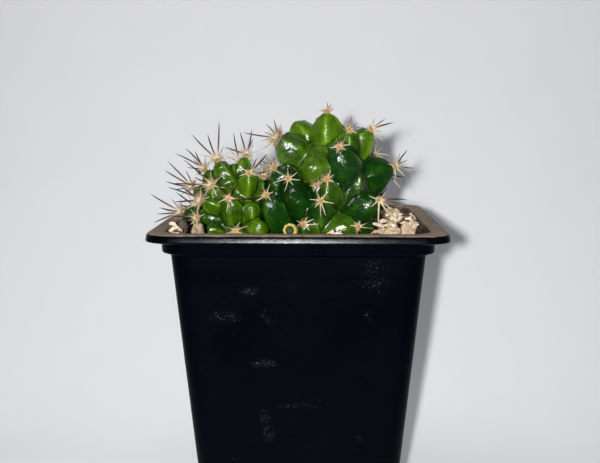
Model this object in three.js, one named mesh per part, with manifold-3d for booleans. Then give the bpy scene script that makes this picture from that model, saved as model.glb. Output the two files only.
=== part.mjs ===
// A potted round cactus: two glossy heads of swollen tubercles, each tubercle ending in a woolly
// areole with its cluster of spines, rooted in gritty potting mix in a square nursery pot.
// Millimetres, +Z up, front towards -Y, origin at the centre of the pot's flat base.
import * as THREE from "three";
import { mergeVertices } from "three/addons/utils/BufferGeometryUtils.js";
import Module from "manifold-3d";

// Driving dimensions.
const GAP = 0.3; // clearance between pieces that touch
const CORNER_SHARE = 0.19; // corner radius of the pot's square section, over its half width
const ARC_SEGMENTS = 3; // half the number of flats in each rounded corner

const POT_HEIGHT = 80;
const POT_BASE_HALF = 23.1; // half width at the base
const POT_WALL_HALF = 29.9; // half width where the tapered wall meets the collar
const POT_COLLAR_HALF = 31.7;
const POT_RIM_HALF = 35;
const COLLAR_LOW = 74.9;
const RIM_DROP = 2; // height of the rim's outer skirt
const WALL = 0.95;
const FLOOR = 1.2;
const DRAIN_RADIUS = 3.2;
const DRAIN_OFFSET = 12;

const SOIL_TOP = 76.3; // highest level of the potting mix
const SOIL_DIP = 0.9; // how far its hollows go down
const STONE_REST = SOIL_TOP + GAP;

const MAIN = { x: 8.7, y: 0, z: 91.9, core: 11.4, rootDepth: 30, neck: 6.5 };
const LEFT = { x: -17, y: -2, z: 84.7, core: 7.6, rootDepth: 22, neck: 4.2 };

const SPINE_RADIUS = 0.24; // at the areole; a spine tapers from there to its point
const AREOLE_RADIUS = 1.05;
const AREOLE_HEIGHT = 0.85;
const SPINE_LEAN = 24; // degrees that radial spines rise above the areole's plane
const LEAN_STEP = 7; // a spine that would touch something rises by this much at a time
const NORMAL_SHARES = [0, 0.12, 0.24, 0.36, 0.5, 0.65, 0.8]; // the same for a spine set by hand
const GOLDEN_ANGLE = 137.5;

// Tubercles: azimuth from the front towards +X, elevation and reach of the tip from the head's
// centre, half width, azimuth and elevation of the axis, then the length of the radial spines, the
// number of central spines and their length. A row that ends early is a tubercle without spines.
const MAIN_TUBERCLES = {
  crown: [-29, 75, 15.8, 4.8, -10, 66, 2.3, 1, 2.8],
  crown_left: [-103, 50, 16.8, 4.8, -66, 52],
  crown_right: [80, 54, 12.4, 3.8, 80, 60],
  crown_back: [160, 56, 13.4, 4.4, 165, 60],
  brow: [21, 47, 14.6, 4.0, 12, 52, 3.8, 1, 5.8],
  brow_right: [52, 44, 15.7, 4.1, 44, 42, 4.4, 1, 6.2],
  shoulder_left: [-67, 30, 17.5, 5.4, -40, 33, 4.4, 1, 5.2],
  bosom: [-24, 8, 16.0, 5.2, -24, 10],
  face: [4, 27, 15.2, 5.0, -14, 44, 3.6, 1, 3.4],
  cheek_right: [71, 6, 15.9, 4.8, 78, 18, 4.8, 1, 5.4],
  cheek_left: [-41, -3, 17.2, 4.7, -28, 50, 4.2, 1, 3.2],
  side_left: [-59, 5, 17.5, 4.3, -45, 48, 3.8, 0, 0],
  middle_left: [-16, -8, 16.2, 2.8, -16, 30, 2.6, 0, 0],
  middle: [-7, -3, 16.0, 3.6, -12, 50, 3.8, 0, 0],
  middle_right: [30, 2, 12.6, 3.8, 26, 40],
  chin: [-12, -20, 17.4, 4.0, -5, 48, 4.9, 1, 3.4],
  chin_right: [43, -21, 16.8, 4.2, 44, 24, 6.6, 1, 5.0],
  flank_left: [-52, -13, 21.6, 3.8, -30, 52, 4.4, 1, 3.6],
  foot_left: [-25, -33, 21.4, 4.0, -22, 25, 4.6, 0, 0],
  foot_right: [19, -36, 20.8, 4.2, 55, 8, 4.2, 0, 0],
  foot_side: [52, -41, 17.6, 4.2, 62, 12],
  back_1: [118, 20, 12.8, 4.6, 118, 50, 3.6, 0, 0],
  back_2: [148, 26, 15.8, 4.7, 148, 44, 4.8, 1, 5.2],
  back_3: [-168, 30, 15.8, 4.7, -168, 46, 4.8, 1, 5.2],
  back_4: [-126, 24, 15.8, 4.7, -126, 44, 4.8, 1, 5.2],
  back_5: [118, -4, 16.2, 4.8, 118, 34, 5.2, 1, 5.2],
  back_6: [164, -6, 16.4, 4.8, 164, 34, 5.2, 1, 5.2],
  back_7: [-150, -5, 16.4, 4.8, -150, 34, 5.2, 1, 5.2],
  back_8: [-90, 3, 16.6, 4.7, -84, 42, 3.8, 0, 0],
  skirt_1: [98, -30, 14.4, 4.6, 98, 20],
  skirt_2: [136, -32, 18.2, 4.6, 136, 20, 5.4, 1, 5.0],
  skirt_3: [-176, -32, 18.2, 4.6, -176, 20, 5.4, 1, 5.0],
  skirt_4: [-134, -30, 17.6, 4.5, -134, 20, 5.4, 0, 0],
};
const LEFT_TUBERCLES = {
  crown_left: [-52, 64, 11.4, 3.4, -48, 60, 4.4, 2, 10.4],
  crown: [72, 74, 11.7, 2.4, 60, 70, 3.4, 2, 5.6],
  crown_young: [0, 82, 9.8, 2.4, 0, 80],
  crown_back: [172, 56, 10.8, 3.0, 172, 58, 4.4, 2, 8.5],
  brow: [30, 40, 11.3, 3.0, 15, 44, 4.6, 1, 4.4],
  brow_right: [61, 36, 10.5, 3.3, 50, 45, 3.6, 1, 4.0],
  brow_left: [-72, 46, 10.8, 2.8, -66, 56, 4.2, 2, 8.0],
  cheek_left: [-25, 23, 11.4, 3.2, -18, 48, 4.4, 1, 7.6],
  cheek: [-1, 7, 12.1, 3.6, -12, 46, 5.2, 1, 4.6],
  cheek_right: [26, 2, 12.2, 3.0, 18, 52],
  side_left: [-36, 4, 12.1, 3.0, -56, 18, 4.6, 2, 9.0],
  side_back: [-92, 17, 11.0, 3.2, -88, 38, 4.6, 2, 9.8],
  jaw_left: [-46, -17, 12.2, 4.0, -50, 4, 4.6, 1, 8.6],
  ear_left: [-77, -12, 13.6, 3.1, -70, 18, 5.2, 2, 9.4],
  chin: [6, -21, 16.8, 3.3, -4, 30, 3.8, 1, 3.4],
  chin_left: [-28, -26, 13.4, 3.4, -24, 20],
  chin_right: [32, -17, 14.6, 3.7, 26, 40],
  back_1: [128, 28, 10.6, 3.3, 128, 42, 4.6, 1, 7.0],
  back_2: [-142, 24, 10.8, 3.3, -142, 42, 4.6, 2, 8.6],
  back_3: [176, 10, 11.2, 3.3, 176, 36, 4.8, 1, 7.0],
  back_4: [136, -12, 11.6, 3.3, 136, 26],
  back_5: [-120, -12, 12.4, 3.4, -118, 22, 5.0, 1, 8.6],
  back_6: [-160, -22, 12.8, 3.4, -160, 20],
};

// The spines of the clusters that face the front, each set by hand: degrees around as seen from the
// front, from +X upwards, then degrees that it leans to the front, then its length.
const SPINES_BY_HAND = {
  main_crown: [[80, 0, 2.0], [110, 15, 1.6], [50, 10, 1.9], [20, 20, 1.4], [160, 20, 1.4]],
  main_brow: [
    [82, 10, 3.6], [40, 25, 2.8], [10, 30, 3.2], [150, 30, 2.4], [330, 30, 2.4], [230, 30, 2.0],
  ],
  main_brow_right: [
    [15, 10, 5.6], [35, 5, 4.2], [76, 10, 2.8], [310, 15, 4.6], [340, 25, 3.0], [200, 30, 2.4],
  ],
  main_shoulder_left: [
    [172, 5, 8.8], [157, 15, 3.8], [130, 10, 4.4], [100, 10, 4.8], [72, 15, 3.8], [195, 15, 4.4],
    [218, 20, 5.6], [240, 20, 4.4],
  ],
  main_face: [
    [4, 25, 2.8], [48, 25, 2.6], [110, 25, 2.6], [195, 25, 2.6], [250, 30, 2.2], [328, 25, 2.4],
  ],
  main_cheek_right: [
    [57, 10, 5.2], [76, 10, 3.9], [30, 15, 3.6], [354, 10, 4.6], [312, 15, 3.5], [268, 15, 3.5],
    [160, 25, 2.6],
  ],
  main_cheek_left: [
    [31, 20, 3.2], [88, 20, 2.8], [139, 20, 3.0], [199, 20, 4.1], [258, 20, 3.6], [310, 20, 2.6],
    [353, 20, 3.6],
  ],
  main_side_left: [
    [20, 25, 3.2], [100, 15, 3.4], [150, 15, 3.8], [200, 20, 3.6], [250, 25, 3.2], [320, 30, 3.0],
  ],
  main_middle_left: [[30, 30, 1.9], [85, 25, 1.8], [135, 20, 2.0], [250, 25, 1.9]],
  main_middle: [
    [30, 20, 2.3], [68, 15, 2.6], [120, 20, 2.4], [220, 25, 1.9], [278, 20, 3.0], [340, 20, 2.2],
  ],
  main_chin: [
    [350, 15, 3.7], [48, 15, 3.2], [111, 15, 3.4], [174, 15, 2.9], [230, 20, 2.4], [272, 15, 4.5],
    [290, 15, 4.1],
  ],
  main_chin_right: [
    [352, 10, 6.2], [2, 20, 7.0], [55, 15, 2.6], [160, 20, 3.3], [217, 20, 3.2], [265, 25, 6.8],
    [302, 20, 8.8], [318, 20, 5.0],
  ],
  main_flank_left: [
    [65, 20, 3.2], [107, 20, 3.1], [142, 20, 2.4], [190, 15, 5.2], [215, 20, 3.0], [313, 25, 2.6],
    [20, 25, 2.6],
  ],
  main_foot_left: [
    [7, 20, 4.5], [28, 20, 3.6], [60, 20, 2.6], [140, 25, 2.0], [326, 30, 2.6], [200, 30, 2.2],
  ],
  main_foot_right: [
    [31, 15, 4.7], [0, 20, 3.8], [85, 20, 2.0], [165, 20, 2.6], [130, 20, 2.2], [250, 30, 2.0],
  ],
  left_crown_left: [
    [85, 5, 9.8], [134, 10, 9.0], [108, 10, 6.8], [165, 20, 4.4], [60, 15, 4.2], [30, 20, 4.4],
    [5, 25, 4.6], [205, 25, 3.8],
  ],
  left_crown: [
    [162, 10, 6.0], [77, 10, 6.6], [106, 5, 6.2], [55, 15, 3.8], [15, 20, 4.2], [200, 25, 3.6],
    [320, 30, 3.2],
  ],
  left_brow: [
    [46, 15, 7.0], [62, 20, 4.6], [5, 20, 4.7], [143, 20, 3.2], [340, 25, 3.4], [200, 25, 3.0],
    [262, 25, 2.6],
  ],
  left_brow_left: [
    [132, 5, 7.0], [152, 5, 8.2], [115, 10, 5.2], [175, 20, 4.6], [80, 20, 3.6], [215, 25, 3.6],
  ],
  left_cheek_left: [
    [137, 10, 9.4], [178, 10, 10.6], [155, 20, 5.0], [195, 20, 4.8], [90, 25, 4.2], [40, 25, 4.4],
    [350, 30, 4.4], [300, 30, 3.8], [240, 30, 3.8],
  ],
  left_cheek: [
    [65, 15, 5.4], [358, 15, 6.8], [262, 15, 3.8], [125, 20, 5.0], [150, 25, 3.6], [205, 25, 3.2],
    [310, 25, 2.8],
  ],
  left_side_left: [
    [157, 10, 8.6], [138, 10, 6.0], [183, 15, 6.6], [120, 20, 4.0], [80, 25, 3.6], [215, 25, 4.2],
    [260, 30, 3.6], [20, 30, 3.4],
  ],
  left_side_back: [
    [149, 5, 8.2], [133, 5, 9.0], [168, 10, 7.0], [110, 10, 4.6], [190, 15, 4.6], [220, 20, 4.0],
  ],
  left_ear_left: [
    [147, 10, 9.2], [202, 10, 7.6], [166, 15, 5.6], [184, 10, 6.2], [120, 15, 4.4], [85, 20, 4.0],
    [40, 25, 4.0], [235, 20, 4.2],
  ],
  left_jaw_left: [
    [196, 30, 6.0], [160, 20, 4.4], [176, 15, 6.4], [230, 25, 3.6], [285, 25, 3.6], [115, 25, 3.0],
    [70, 30, 3.0], [25, 30, 3.2],
  ],
  left_chin: [
    [22, 20, 4.2], [60, 25, 3.2], [150, 25, 2.9], [105, 25, 2.6], [190, 30, 2.6], [345, 30, 2.8],
  ],
};

// Top dressing: place, half sizes and turn in degrees of each stone.
const STONES = {
  stone_pale_left: [-28.6, -26.6, 1.5, 1.7, 1.9, 20],
  stone_dark_left: [-27.9, -21.9, 1.8, 2.0, 2.8, 60],
  stone_chip_left: [-23.6, -24.0, 2.1, 1.9, 2.6, -15],
  stone_pale_front: [8.4, -26.6, 2.7, 2.3, 1.8, 10],
  stone_tan_right: [21.4, -22.6, 3.4, 2.8, 2.3, 35],
  stone_rough_right: [26.6, -17.6, 2.4, 2.5, 2.7, -30],
  stone_brown_right: [27.6, -11.2, 2.2, 2.6, 2.4, 75],
  stone_small_right: [27.9, -4.8, 1.9, 2.2, 2.9, 5],
  stone_back_right: [24.4, 20.4, 3.2, 2.6, 2.2, 50],
  stone_back: [-3.6, 24.4, 2.8, 3.2, 2.0, -25],
  stone_back_left: [-23.8, 19.0, 2.9, 2.6, 2.3, 80],
};

const COLOURS = {
  pot: 0x0b0d0f,
  soil: 0x3a2c22,
  main: 0x2c6a1c,
  left: 0x3f7a22,
  spine: 0xd9b98a,
  bud: 0xb9b052,
  palestone: 0xcbbba5,
  tanstone: 0xb39a76,
  darkstone: 0x3c3029,
};

const wasm = await Module();
wasm.setup();

// ---- Solids and meshes

function solidOf(geometry) {
  const bare = geometry.clone();
  bare.deleteAttribute("normal");
  bare.deleteAttribute("uv");
  const merged = mergeVertices(bare, 1e-4);
  const vertProperties = merged.getAttribute("position").array;
  const triVerts = new Uint32Array(merged.index.array);
  return new wasm.Manifold(new wasm.Mesh({ numProp: 3, vertProperties, triVerts }));
}

function meshOf(name, solid, color, roughness) {
  const { vertProperties, triVerts } = solid.getMesh();
  const geometry = new THREE.BufferGeometry();
  geometry.setAttribute("position", new THREE.BufferAttribute(vertProperties, 3));
  geometry.setIndex(new THREE.BufferAttribute(triVerts, 1));
  geometry.computeVertexNormals();
  const material = new THREE.MeshStandardMaterial({ color, roughness, metalness: 0 });
  const mesh = new THREE.Mesh(geometry, material);
  mesh.name = name;
  return mesh;
}

function union(solids) {
  return solids.reduce((whole, piece) => whole.add(piece));
}

// A frame whose local z runs along `axis` and whose local y leans as far up as it can.
function frameAlong(axis, origin) {
  const z = axis.clone().normalize();
  const x = new THREE.Vector3(0, 0, 1).cross(z);
  if (x.lengthSq() < 1e-6) {
    x.set(1, 0, 0);
  }
  x.normalize();
  const y = z.clone().cross(x);
  return new THREE.Matrix4().makeBasis(x, y, z).setPosition(origin);
}

function directionTo(azimuth, elevation) {
  const turn = THREE.MathUtils.degToRad(azimuth);
  const rise = THREE.MathUtils.degToRad(elevation);
  return new THREE.Vector3(
    Math.sin(turn) * Math.cos(rise),
    -Math.cos(turn) * Math.cos(rise),
    Math.sin(rise),
  );
}

// ---- Pot

// A rounded square of half width 1, which the stations of a loft scale to size.
function roundedSquare() {
  const flat = 1 - CORNER_SHARE;
  const quarter = Math.PI / 2;
  const shape = new THREE.Shape();
  shape.absarc(flat, flat, CORNER_SHARE, 0, quarter);
  shape.absarc(-flat, flat, CORNER_SHARE, quarter, 2 * quarter);
  shape.absarc(-flat, -flat, CORNER_SHARE, 2 * quarter, 3 * quarter);
  shape.absarc(flat, -flat, CORNER_SHARE, 3 * quarter, 4 * quarter);
  shape.closePath();
  return shape;
}

// A closed skin through stations of [height, half width], with a flat cap at each end.
function loft(stations) {
  const bands = stations.length - 1;
  const options = { depth: bands, steps: bands, bevelEnabled: false, curveSegments: ARC_SEGMENTS };
  const geometry = new THREE.ExtrudeGeometry(roundedSquare(), options);
  const place = geometry.getAttribute("position");
  for (let i = 0; i < place.count; i += 1) {
    const [height, half] = stations[Math.round(place.getZ(i))];
    place.setXYZ(i, place.getX(i) * half, place.getY(i) * half, height);
  }
  return solidOf(geometry);
}

// Up the outside, over the rim with its downturned skirt, and down the inside to the floor.
function nurseryPot() {
  const rimLow = POT_HEIGHT - RIM_DROP;
  const shell = loft([
    [0, POT_BASE_HALF - 0.4],
    [0.5, POT_BASE_HALF],
    [COLLAR_LOW - 0.5, POT_WALL_HALF],
    [COLLAR_LOW, POT_COLLAR_HALF - 0.4],
    [rimLow + 1, POT_COLLAR_HALF],
    [rimLow + 1, POT_RIM_HALF - 0.9],
    [rimLow, POT_RIM_HALF - 0.9],
    [rimLow, POT_RIM_HALF],
    [POT_HEIGHT - 0.6, POT_RIM_HALF - 0.1],
    [POT_HEIGHT - 0.15, POT_RIM_HALF - 0.35],
    [POT_HEIGHT, POT_RIM_HALF - 0.8],
    [POT_HEIGHT, POT_COLLAR_HALF - WALL + 0.3],
    [POT_HEIGHT - 0.4, POT_COLLAR_HALF - WALL],
    [COLLAR_LOW + 0.3, POT_COLLAR_HALF - WALL - 0.4],
    [COLLAR_LOW - 0.4, POT_WALL_HALF - WALL],
    [FLOOR, POT_BASE_HALF - WALL],
  ]);
  const drains = [-1, 1].flatMap((side) =>
    [-1, 1].map((end) => {
      const drain = new THREE.CylinderGeometry(DRAIN_RADIUS, DRAIN_RADIUS, 4 * FLOOR, 14);
      drain.rotateX(Math.PI / 2);
      drain.translate(side * DRAIN_OFFSET, end * DRAIN_OFFSET, 0);
      return solidOf(drain);
    }),
  );
  return drains.reduce((pot, drain) => pot.subtract(drain), shell);
}

// ---- Potting mix and stones

function soilHeight(x, y) {
  const wave = Math.sin(0.31 * x + 1.3) * Math.cos(0.27 * y - 0.4) + Math.sin(0.17 * (x - y));
  return SOIL_TOP - (SOIL_DIP * (2 + wave)) / 4;
}

// The tapered fill of the pot under an uneven top, less the pockets that the roots fill.
function pottingMix() {
  const inner = WALL + GAP;
  const fill = loft([
    [FLOOR + GAP, POT_BASE_HALF - inner],
    [COLLAR_LOW - 0.4, POT_WALL_HALF - inner - 0.05],
    [COLLAR_LOW + 0.5, POT_COLLAR_HALF - inner - 0.45],
    [POT_HEIGHT, POT_COLLAR_HALF - inner - 0.2],
  ]);
  const top = new THREE.BoxGeometry(2 * POT_RIM_HALF, 2 * POT_RIM_HALF, POT_HEIGHT, 10, 10, 1);
  top.translate(0, 0, POT_HEIGHT / 2);
  const place = top.getAttribute("position");
  for (let i = 0; i < place.count; i += 1) {
    if (place.getZ(i) > 0) {
      place.setZ(i, soilHeight(place.getX(i), place.getY(i)));
    }
  }
  const pockets = union([rootOf(MAIN, GAP), rootOf(LEFT, GAP)]);
  return fill.intersect(solidOf(top)).subtract(pockets);
}

// A lump of stone that rests on the potting mix.
function stone([x, y, halfX, halfY, halfZ, turn]) {
  const lump = new THREE.IcosahedronGeometry(1, 1);
  const place = lump.getAttribute("position");
  const point = new THREE.Vector3();
  for (let i = 0; i < place.count; i += 1) {
    point.fromBufferAttribute(place, i);
    const dent = Math.sin(2.3 * point.x + x) * Math.cos(2.9 * point.y + y) * Math.sin(2.1 * point.z + turn);
    point.multiplyScalar(1 - 0.2 * Math.abs(dent));
    place.setXYZ(i, point.x, point.y, point.z);
  }
  lump.scale(halfX, halfY, halfZ);
  lump.rotateZ(THREE.MathUtils.degToRad(turn));
  lump.translate(x, y, STONE_REST + halfZ);
  return solidOf(lump);
}

// ---- Stems

// The buried neck and tapering root below a head, grown outwards by `extra` all over.
function rootOf(head, extra) {
  const top = head.z - 3;
  const low = SOIL_TOP - head.rootDepth;
  const profile = [
    [0, low - extra],
    [0.9, low + 0.6],
    [0.42 * head.neck, SOIL_TOP - 0.45 * head.rootDepth],
    [head.neck, SOIL_TOP - 3],
    [head.neck, top],
  ];
  const points = profile.map(([r, z], i) => new THREE.Vector2(r + (i > 0 ? extra : 0), z));
  points.push(new THREE.Vector2(0, top));
  const lathe = new THREE.LatheGeometry(points, 14);
  lathe.rotateX(Math.PI / 2);
  lathe.translate(head.x, head.y, 0);
  return solidOf(lathe);
}

// Where a tubercle's tip lies, and the axis that it grows along.
function layTubercle(spot, head, [azimuth, elevation, reach, halfWidth, turn, rise, ...spines]) {
  const outward = directionTo(azimuth, elevation);
  const tip = new THREE.Vector3(head.x, head.y, head.z).addScaledVector(outward, reach);
  return { spot, tip, outward, axis: directionTo(turn, rise), halfWidth, spines };
}

// One swollen tubercle: an egg with four soft edges, one of them the keel on its underside.
function tubercle({ tip, axis, halfWidth }, extra) {
  const halfLength = 1.75 * halfWidth;
  const egg = new THREE.SphereGeometry(1, 8, 5);
  egg.rotateX(Math.PI / 2);
  const place = egg.getAttribute("position");
  for (let i = 0; i < place.count; i += 1) {
    const around = Math.atan2(place.getY(i), place.getX(i));
    const soft = 0.94 + 0.06 * Math.cos(4 * around);
    place.setXYZ(i, place.getX(i) * soft, place.getY(i) * soft, place.getZ(i));
  }
  egg.scale(halfWidth + extra, halfWidth + extra, halfLength + extra);
  egg.translate(0, 0, -halfLength);
  egg.applyMatrix4(frameAlong(axis, tip));
  return solidOf(egg);
}

// The head above the potting mix: a round core set all over with tubercles, on its root. It is
// grown outwards by `extra` where it is only the space that a neighbour has to leave free.
function stem(head, tubercles, extra = 0) {
  const core = new THREE.SphereGeometry(head.core + extra, 14, 9);
  core.scale(1, 1, 1.12);
  core.translate(head.x, head.y, head.z - 0.25 * head.core);
  const above = new THREE.BoxGeometry(2 * POT_RIM_HALF, 2 * POT_RIM_HALF, POT_HEIGHT);
  above.translate(0, 0, STONE_REST + POT_HEIGHT / 2);
  const eggs = tubercles.map((laid) => tubercle(laid, extra));
  const grown = union([solidOf(core), ...eggs]);
  return grown.intersect(solidOf(above)).add(rootOf(head, extra));
}

// ---- Areoles and spines

// A tapering three-sided spine from `start`, leaving out its first part when only a probe is wanted.
function spine(start, direction, length, radius, skip) {
  const needle = new THREE.ConeGeometry(radius, length - skip, 3);
  needle.rotateX(Math.PI / 2);
  needle.translate(0, 0, (length + skip) / 2);
  needle.applyMatrix4(frameAlong(direction, start));
  return solidOf(needle);
}

function boxesMeet(a, b) {
  const [first, second] = [a.boundingBox(), b.boundingBox()];
  return [0, 1, 2].every((k) => first.min[k] < second.max[k] && second.min[k] < first.max[k]);
}

function touches(piece, others) {
  return others.some((other) => boxesMeet(piece, other) && !piece.intersect(other).isEmpty());
}

// A cluster's spines before they are cleared: radials in a ring, centrals standing out.
function spinesByRule([radialLength, centrals, centralLength], index) {
  const radials = index % 3 === 0 ? 7 : 6;
  const phase = index * GOLDEN_ANGLE;
  const wanted = [];
  for (let k = 0; k < radials; k += 1) {
    const around = phase + (360 * k) / radials;
    const uneven = 1 + 0.16 * Math.sin(2.7 * k + index);
    wanted.push({ around, lean: SPINE_LEAN, length: radialLength * uneven });
  }
  for (let k = 0; k < centrals; k += 1) {
    const around = 90 + (k - (centrals - 1) / 2) * 100 + 25 * Math.sin(index);
    wanted.push({ around, lean: 68 - 14 * k, length: centralLength * (1 - 0.15 * k) });
  }
  return wanted;
}

// A spine set by hand, with its direction as it is seen from the front.
function spineByHand([around, lean, length]) {
  const turn = THREE.MathUtils.degToRad(around);
  const forward = THREE.MathUtils.degToRad(lean);
  const direction = new THREE.Vector3(
    Math.cos(turn) * Math.cos(forward),
    -Math.sin(forward),
    Math.sin(turn) * Math.cos(forward),
  );
  return { direction, length };
}

// The directions to try for a spine, each nearer to the areole's normal than the one before.
function courses(face, { direction, around, lean }) {
  if (direction) {
    const normal = new THREE.Vector3().setFromMatrixColumn(face, 2);
    return NORMAL_SHARES.map((share) => direction.clone().lerp(normal, share).normalize());
  }
  const steps = Math.ceil((90 - lean) / LEAN_STEP);
  return Array.from({ length: steps }, (_, k) => leaned(face, around, lean + k * LEAN_STEP));
}

// A woolly pad on the tubercle's tip with its spines, each raised until it clears what is placed.
function spineCluster(laid, name, index, placed) {
  const face = frameAlong(laid.axis.clone().add(laid.outward), new THREE.Vector3());
  const wanted = SPINES_BY_HAND[name]?.map(spineByHand) ?? spinesByRule(laid.spines, index);
  const normal = new THREE.Vector3().setFromMatrixColumn(face, 2);
  const base = laid.tip.clone().addScaledVector(normal, GAP);
  const outline = [
    [0, 0],
    [AREOLE_RADIUS, 0.1 * AREOLE_HEIGHT],
    [0.6 * AREOLE_RADIUS, AREOLE_HEIGHT],
    [0, AREOLE_HEIGHT],
  ].map(([r, h]) => new THREE.Vector2(r, h));
  const dome = new THREE.LatheGeometry(outline, 6);
  dome.rotateX(Math.PI / 2);
  dome.applyMatrix4(frameAlong(normal, base));
  const pieces = [solidOf(dome)];
  const start = base.clone().addScaledVector(normal, 0.5 * AREOLE_HEIGHT);
  for (const plan of wanted) {
    const free = courses(face, plan).find((direction) => {
      const reach = plan.length + GAP;
      return !touches(spine(start, direction, reach, 2.2 * SPINE_RADIUS, 1.5 * AREOLE_RADIUS), placed);
    });
    if (free) {
      pieces.push(spine(start, free, plan.length, SPINE_RADIUS, 0));
    }
  }
  return union(pieces);
}

// The direction at `around` degrees about a face's normal, `rise` degrees above the face.
function leaned(face, around, rise) {
  const turn = THREE.MathUtils.degToRad(around);
  const lift = THREE.MathUtils.degToRad(rise);
  const local = new THREE.Vector3(
    Math.cos(turn) * Math.cos(lift),
    Math.sin(turn) * Math.cos(lift),
    Math.sin(lift),
  );
  return local.transformDirection(face);
}

// ---- Flower bud

// A short blunt bud between the two heads, with its petals' closed ring sunk at the end.
function flowerBud() {
  const outline = [
    [0, 0],
    [1.2, 0.2],
    [1.8, 1.4],
    [1.85, 2.9],
    [1.4, 3.3],
    [1.0, 2.8],
    [0, 2.6],
  ].map(([r, h]) => new THREE.Vector2(r, h));
  const bud = new THREE.LatheGeometry(outline, 12);
  bud.rotateX(Math.PI / 2);
  bud.applyMatrix4(frameAlong(directionTo(-12, 10), new THREE.Vector3(-1.6, -15.6, 78.5)));
  return solidOf(bud);
}

// ---- Assembly

const plant = new THREE.Group();
const placed = [];

function place(name, solid, color, roughness) {
  placed.push(solid);
  plant.add(meshOf(name, solid, color, roughness));
}

function stoneColour(name) {
  if (name.includes("pale") || name.includes("chip")) {
    return COLOURS.palestone;
  }
  return name.includes("dark") || name.includes("brown") ? COLOURS.darkstone : COLOURS.tanstone;
}

place("nursery_pot", nurseryPot(), COLOURS.pot, 0.4);
place("potting_mix", pottingMix(), COLOURS.soil, 0.95);
for (const [name, numbers] of Object.entries(STONES)) {
  place(name, stone(numbers), stoneColour(name), 0.9);
}

const mainLaid = Object.entries(MAIN_TUBERCLES).map(([spot, row]) => layTubercle(spot, MAIN, row));
const leftLaid = Object.entries(LEFT_TUBERCLES).map(([spot, row]) => layTubercle(spot, LEFT, row));
const leftStem = stem(LEFT, leftLaid).subtract(stem(MAIN, mainLaid, GAP));
place("stem_main", stem(MAIN, mainLaid), COLOURS.main, 0.25);
place("stem_left", leftStem, COLOURS.left, 0.25);
place("flower_bud", flowerBud(), COLOURS.bud, 0.5);

for (const [label, tubercles] of [["main", mainLaid], ["left", leftLaid]]) {
  tubercles.forEach((laid, index) => {
    if (laid.spines.length > 0) {
      const name = `${label}_${laid.spot}`;
      place(`spines_${name}`, spineCluster(laid, name, index, placed), COLOURS.spine, 0.6);
    }
  });
}

export default plant;
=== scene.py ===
import math
import random

import bmesh
import bpy
import numpy as np
from bpy.props import FloatProperty, FloatVectorProperty, IntProperty, PointerProperty
from mathutils import Matrix, Vector, noise
from mathutils.bvhtree import BVHTree


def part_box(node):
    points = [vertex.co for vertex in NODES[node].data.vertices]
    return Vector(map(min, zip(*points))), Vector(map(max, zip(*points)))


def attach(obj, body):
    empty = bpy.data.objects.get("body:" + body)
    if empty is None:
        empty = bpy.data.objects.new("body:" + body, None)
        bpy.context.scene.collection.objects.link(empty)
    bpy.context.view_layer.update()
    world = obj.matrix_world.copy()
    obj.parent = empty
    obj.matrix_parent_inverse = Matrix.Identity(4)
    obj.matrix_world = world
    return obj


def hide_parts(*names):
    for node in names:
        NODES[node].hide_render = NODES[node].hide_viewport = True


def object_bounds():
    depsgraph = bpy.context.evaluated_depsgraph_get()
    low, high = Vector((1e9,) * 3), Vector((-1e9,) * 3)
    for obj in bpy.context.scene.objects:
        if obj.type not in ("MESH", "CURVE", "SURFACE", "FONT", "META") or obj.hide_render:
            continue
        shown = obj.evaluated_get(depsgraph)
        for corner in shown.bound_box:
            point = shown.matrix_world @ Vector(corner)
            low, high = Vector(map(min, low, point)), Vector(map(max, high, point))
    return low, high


bl_info = {
    "name": "Potted round cactus",
    "version": (1, 0, 0),
    "blender": (4, 5, 0),
    "location": "3D View > Sidebar > Cactus",
    "description": "Builds a small clumping cactus in its square pot around the fixed frame",
    "category": "Add Mesh",
}

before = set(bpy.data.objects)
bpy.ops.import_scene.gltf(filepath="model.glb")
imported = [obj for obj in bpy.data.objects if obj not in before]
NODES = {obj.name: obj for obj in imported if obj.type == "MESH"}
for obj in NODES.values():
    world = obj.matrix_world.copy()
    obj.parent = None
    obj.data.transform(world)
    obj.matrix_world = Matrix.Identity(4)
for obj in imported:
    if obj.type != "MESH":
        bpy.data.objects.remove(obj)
FRAME_LOW, FRAME_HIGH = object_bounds()
_, POT_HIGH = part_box("nursery_pot")
_, MIX_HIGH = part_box("potting_mix")
BODY = "root"
DOWN = Vector((0, 0, -1))


# ---- Settings


def plain(name, description, default, **more):
    """A plain number."""
    return FloatProperty(name=name, description=description, default=default, **more)


def whole(name, description, default):
    """A whole number."""
    return IntProperty(name=name, description=description, default=default)


def metres(name, description, default):
    """A length in metres."""
    return plain(name, description, default, unit="LENGTH")


def degrees(name, description, turn):
    """An angle, given in degrees."""
    return plain(name, description, math.radians(turn), unit="ROTATION")


def watts(name, description, default):
    """A light's power."""
    return plain(name, description, default, unit="POWER")


def tint(name, description, default):
    """A colour, in linear red, green and blue."""
    return FloatVectorProperty(name=name, description=description, subtype="COLOR", default=default)


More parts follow.
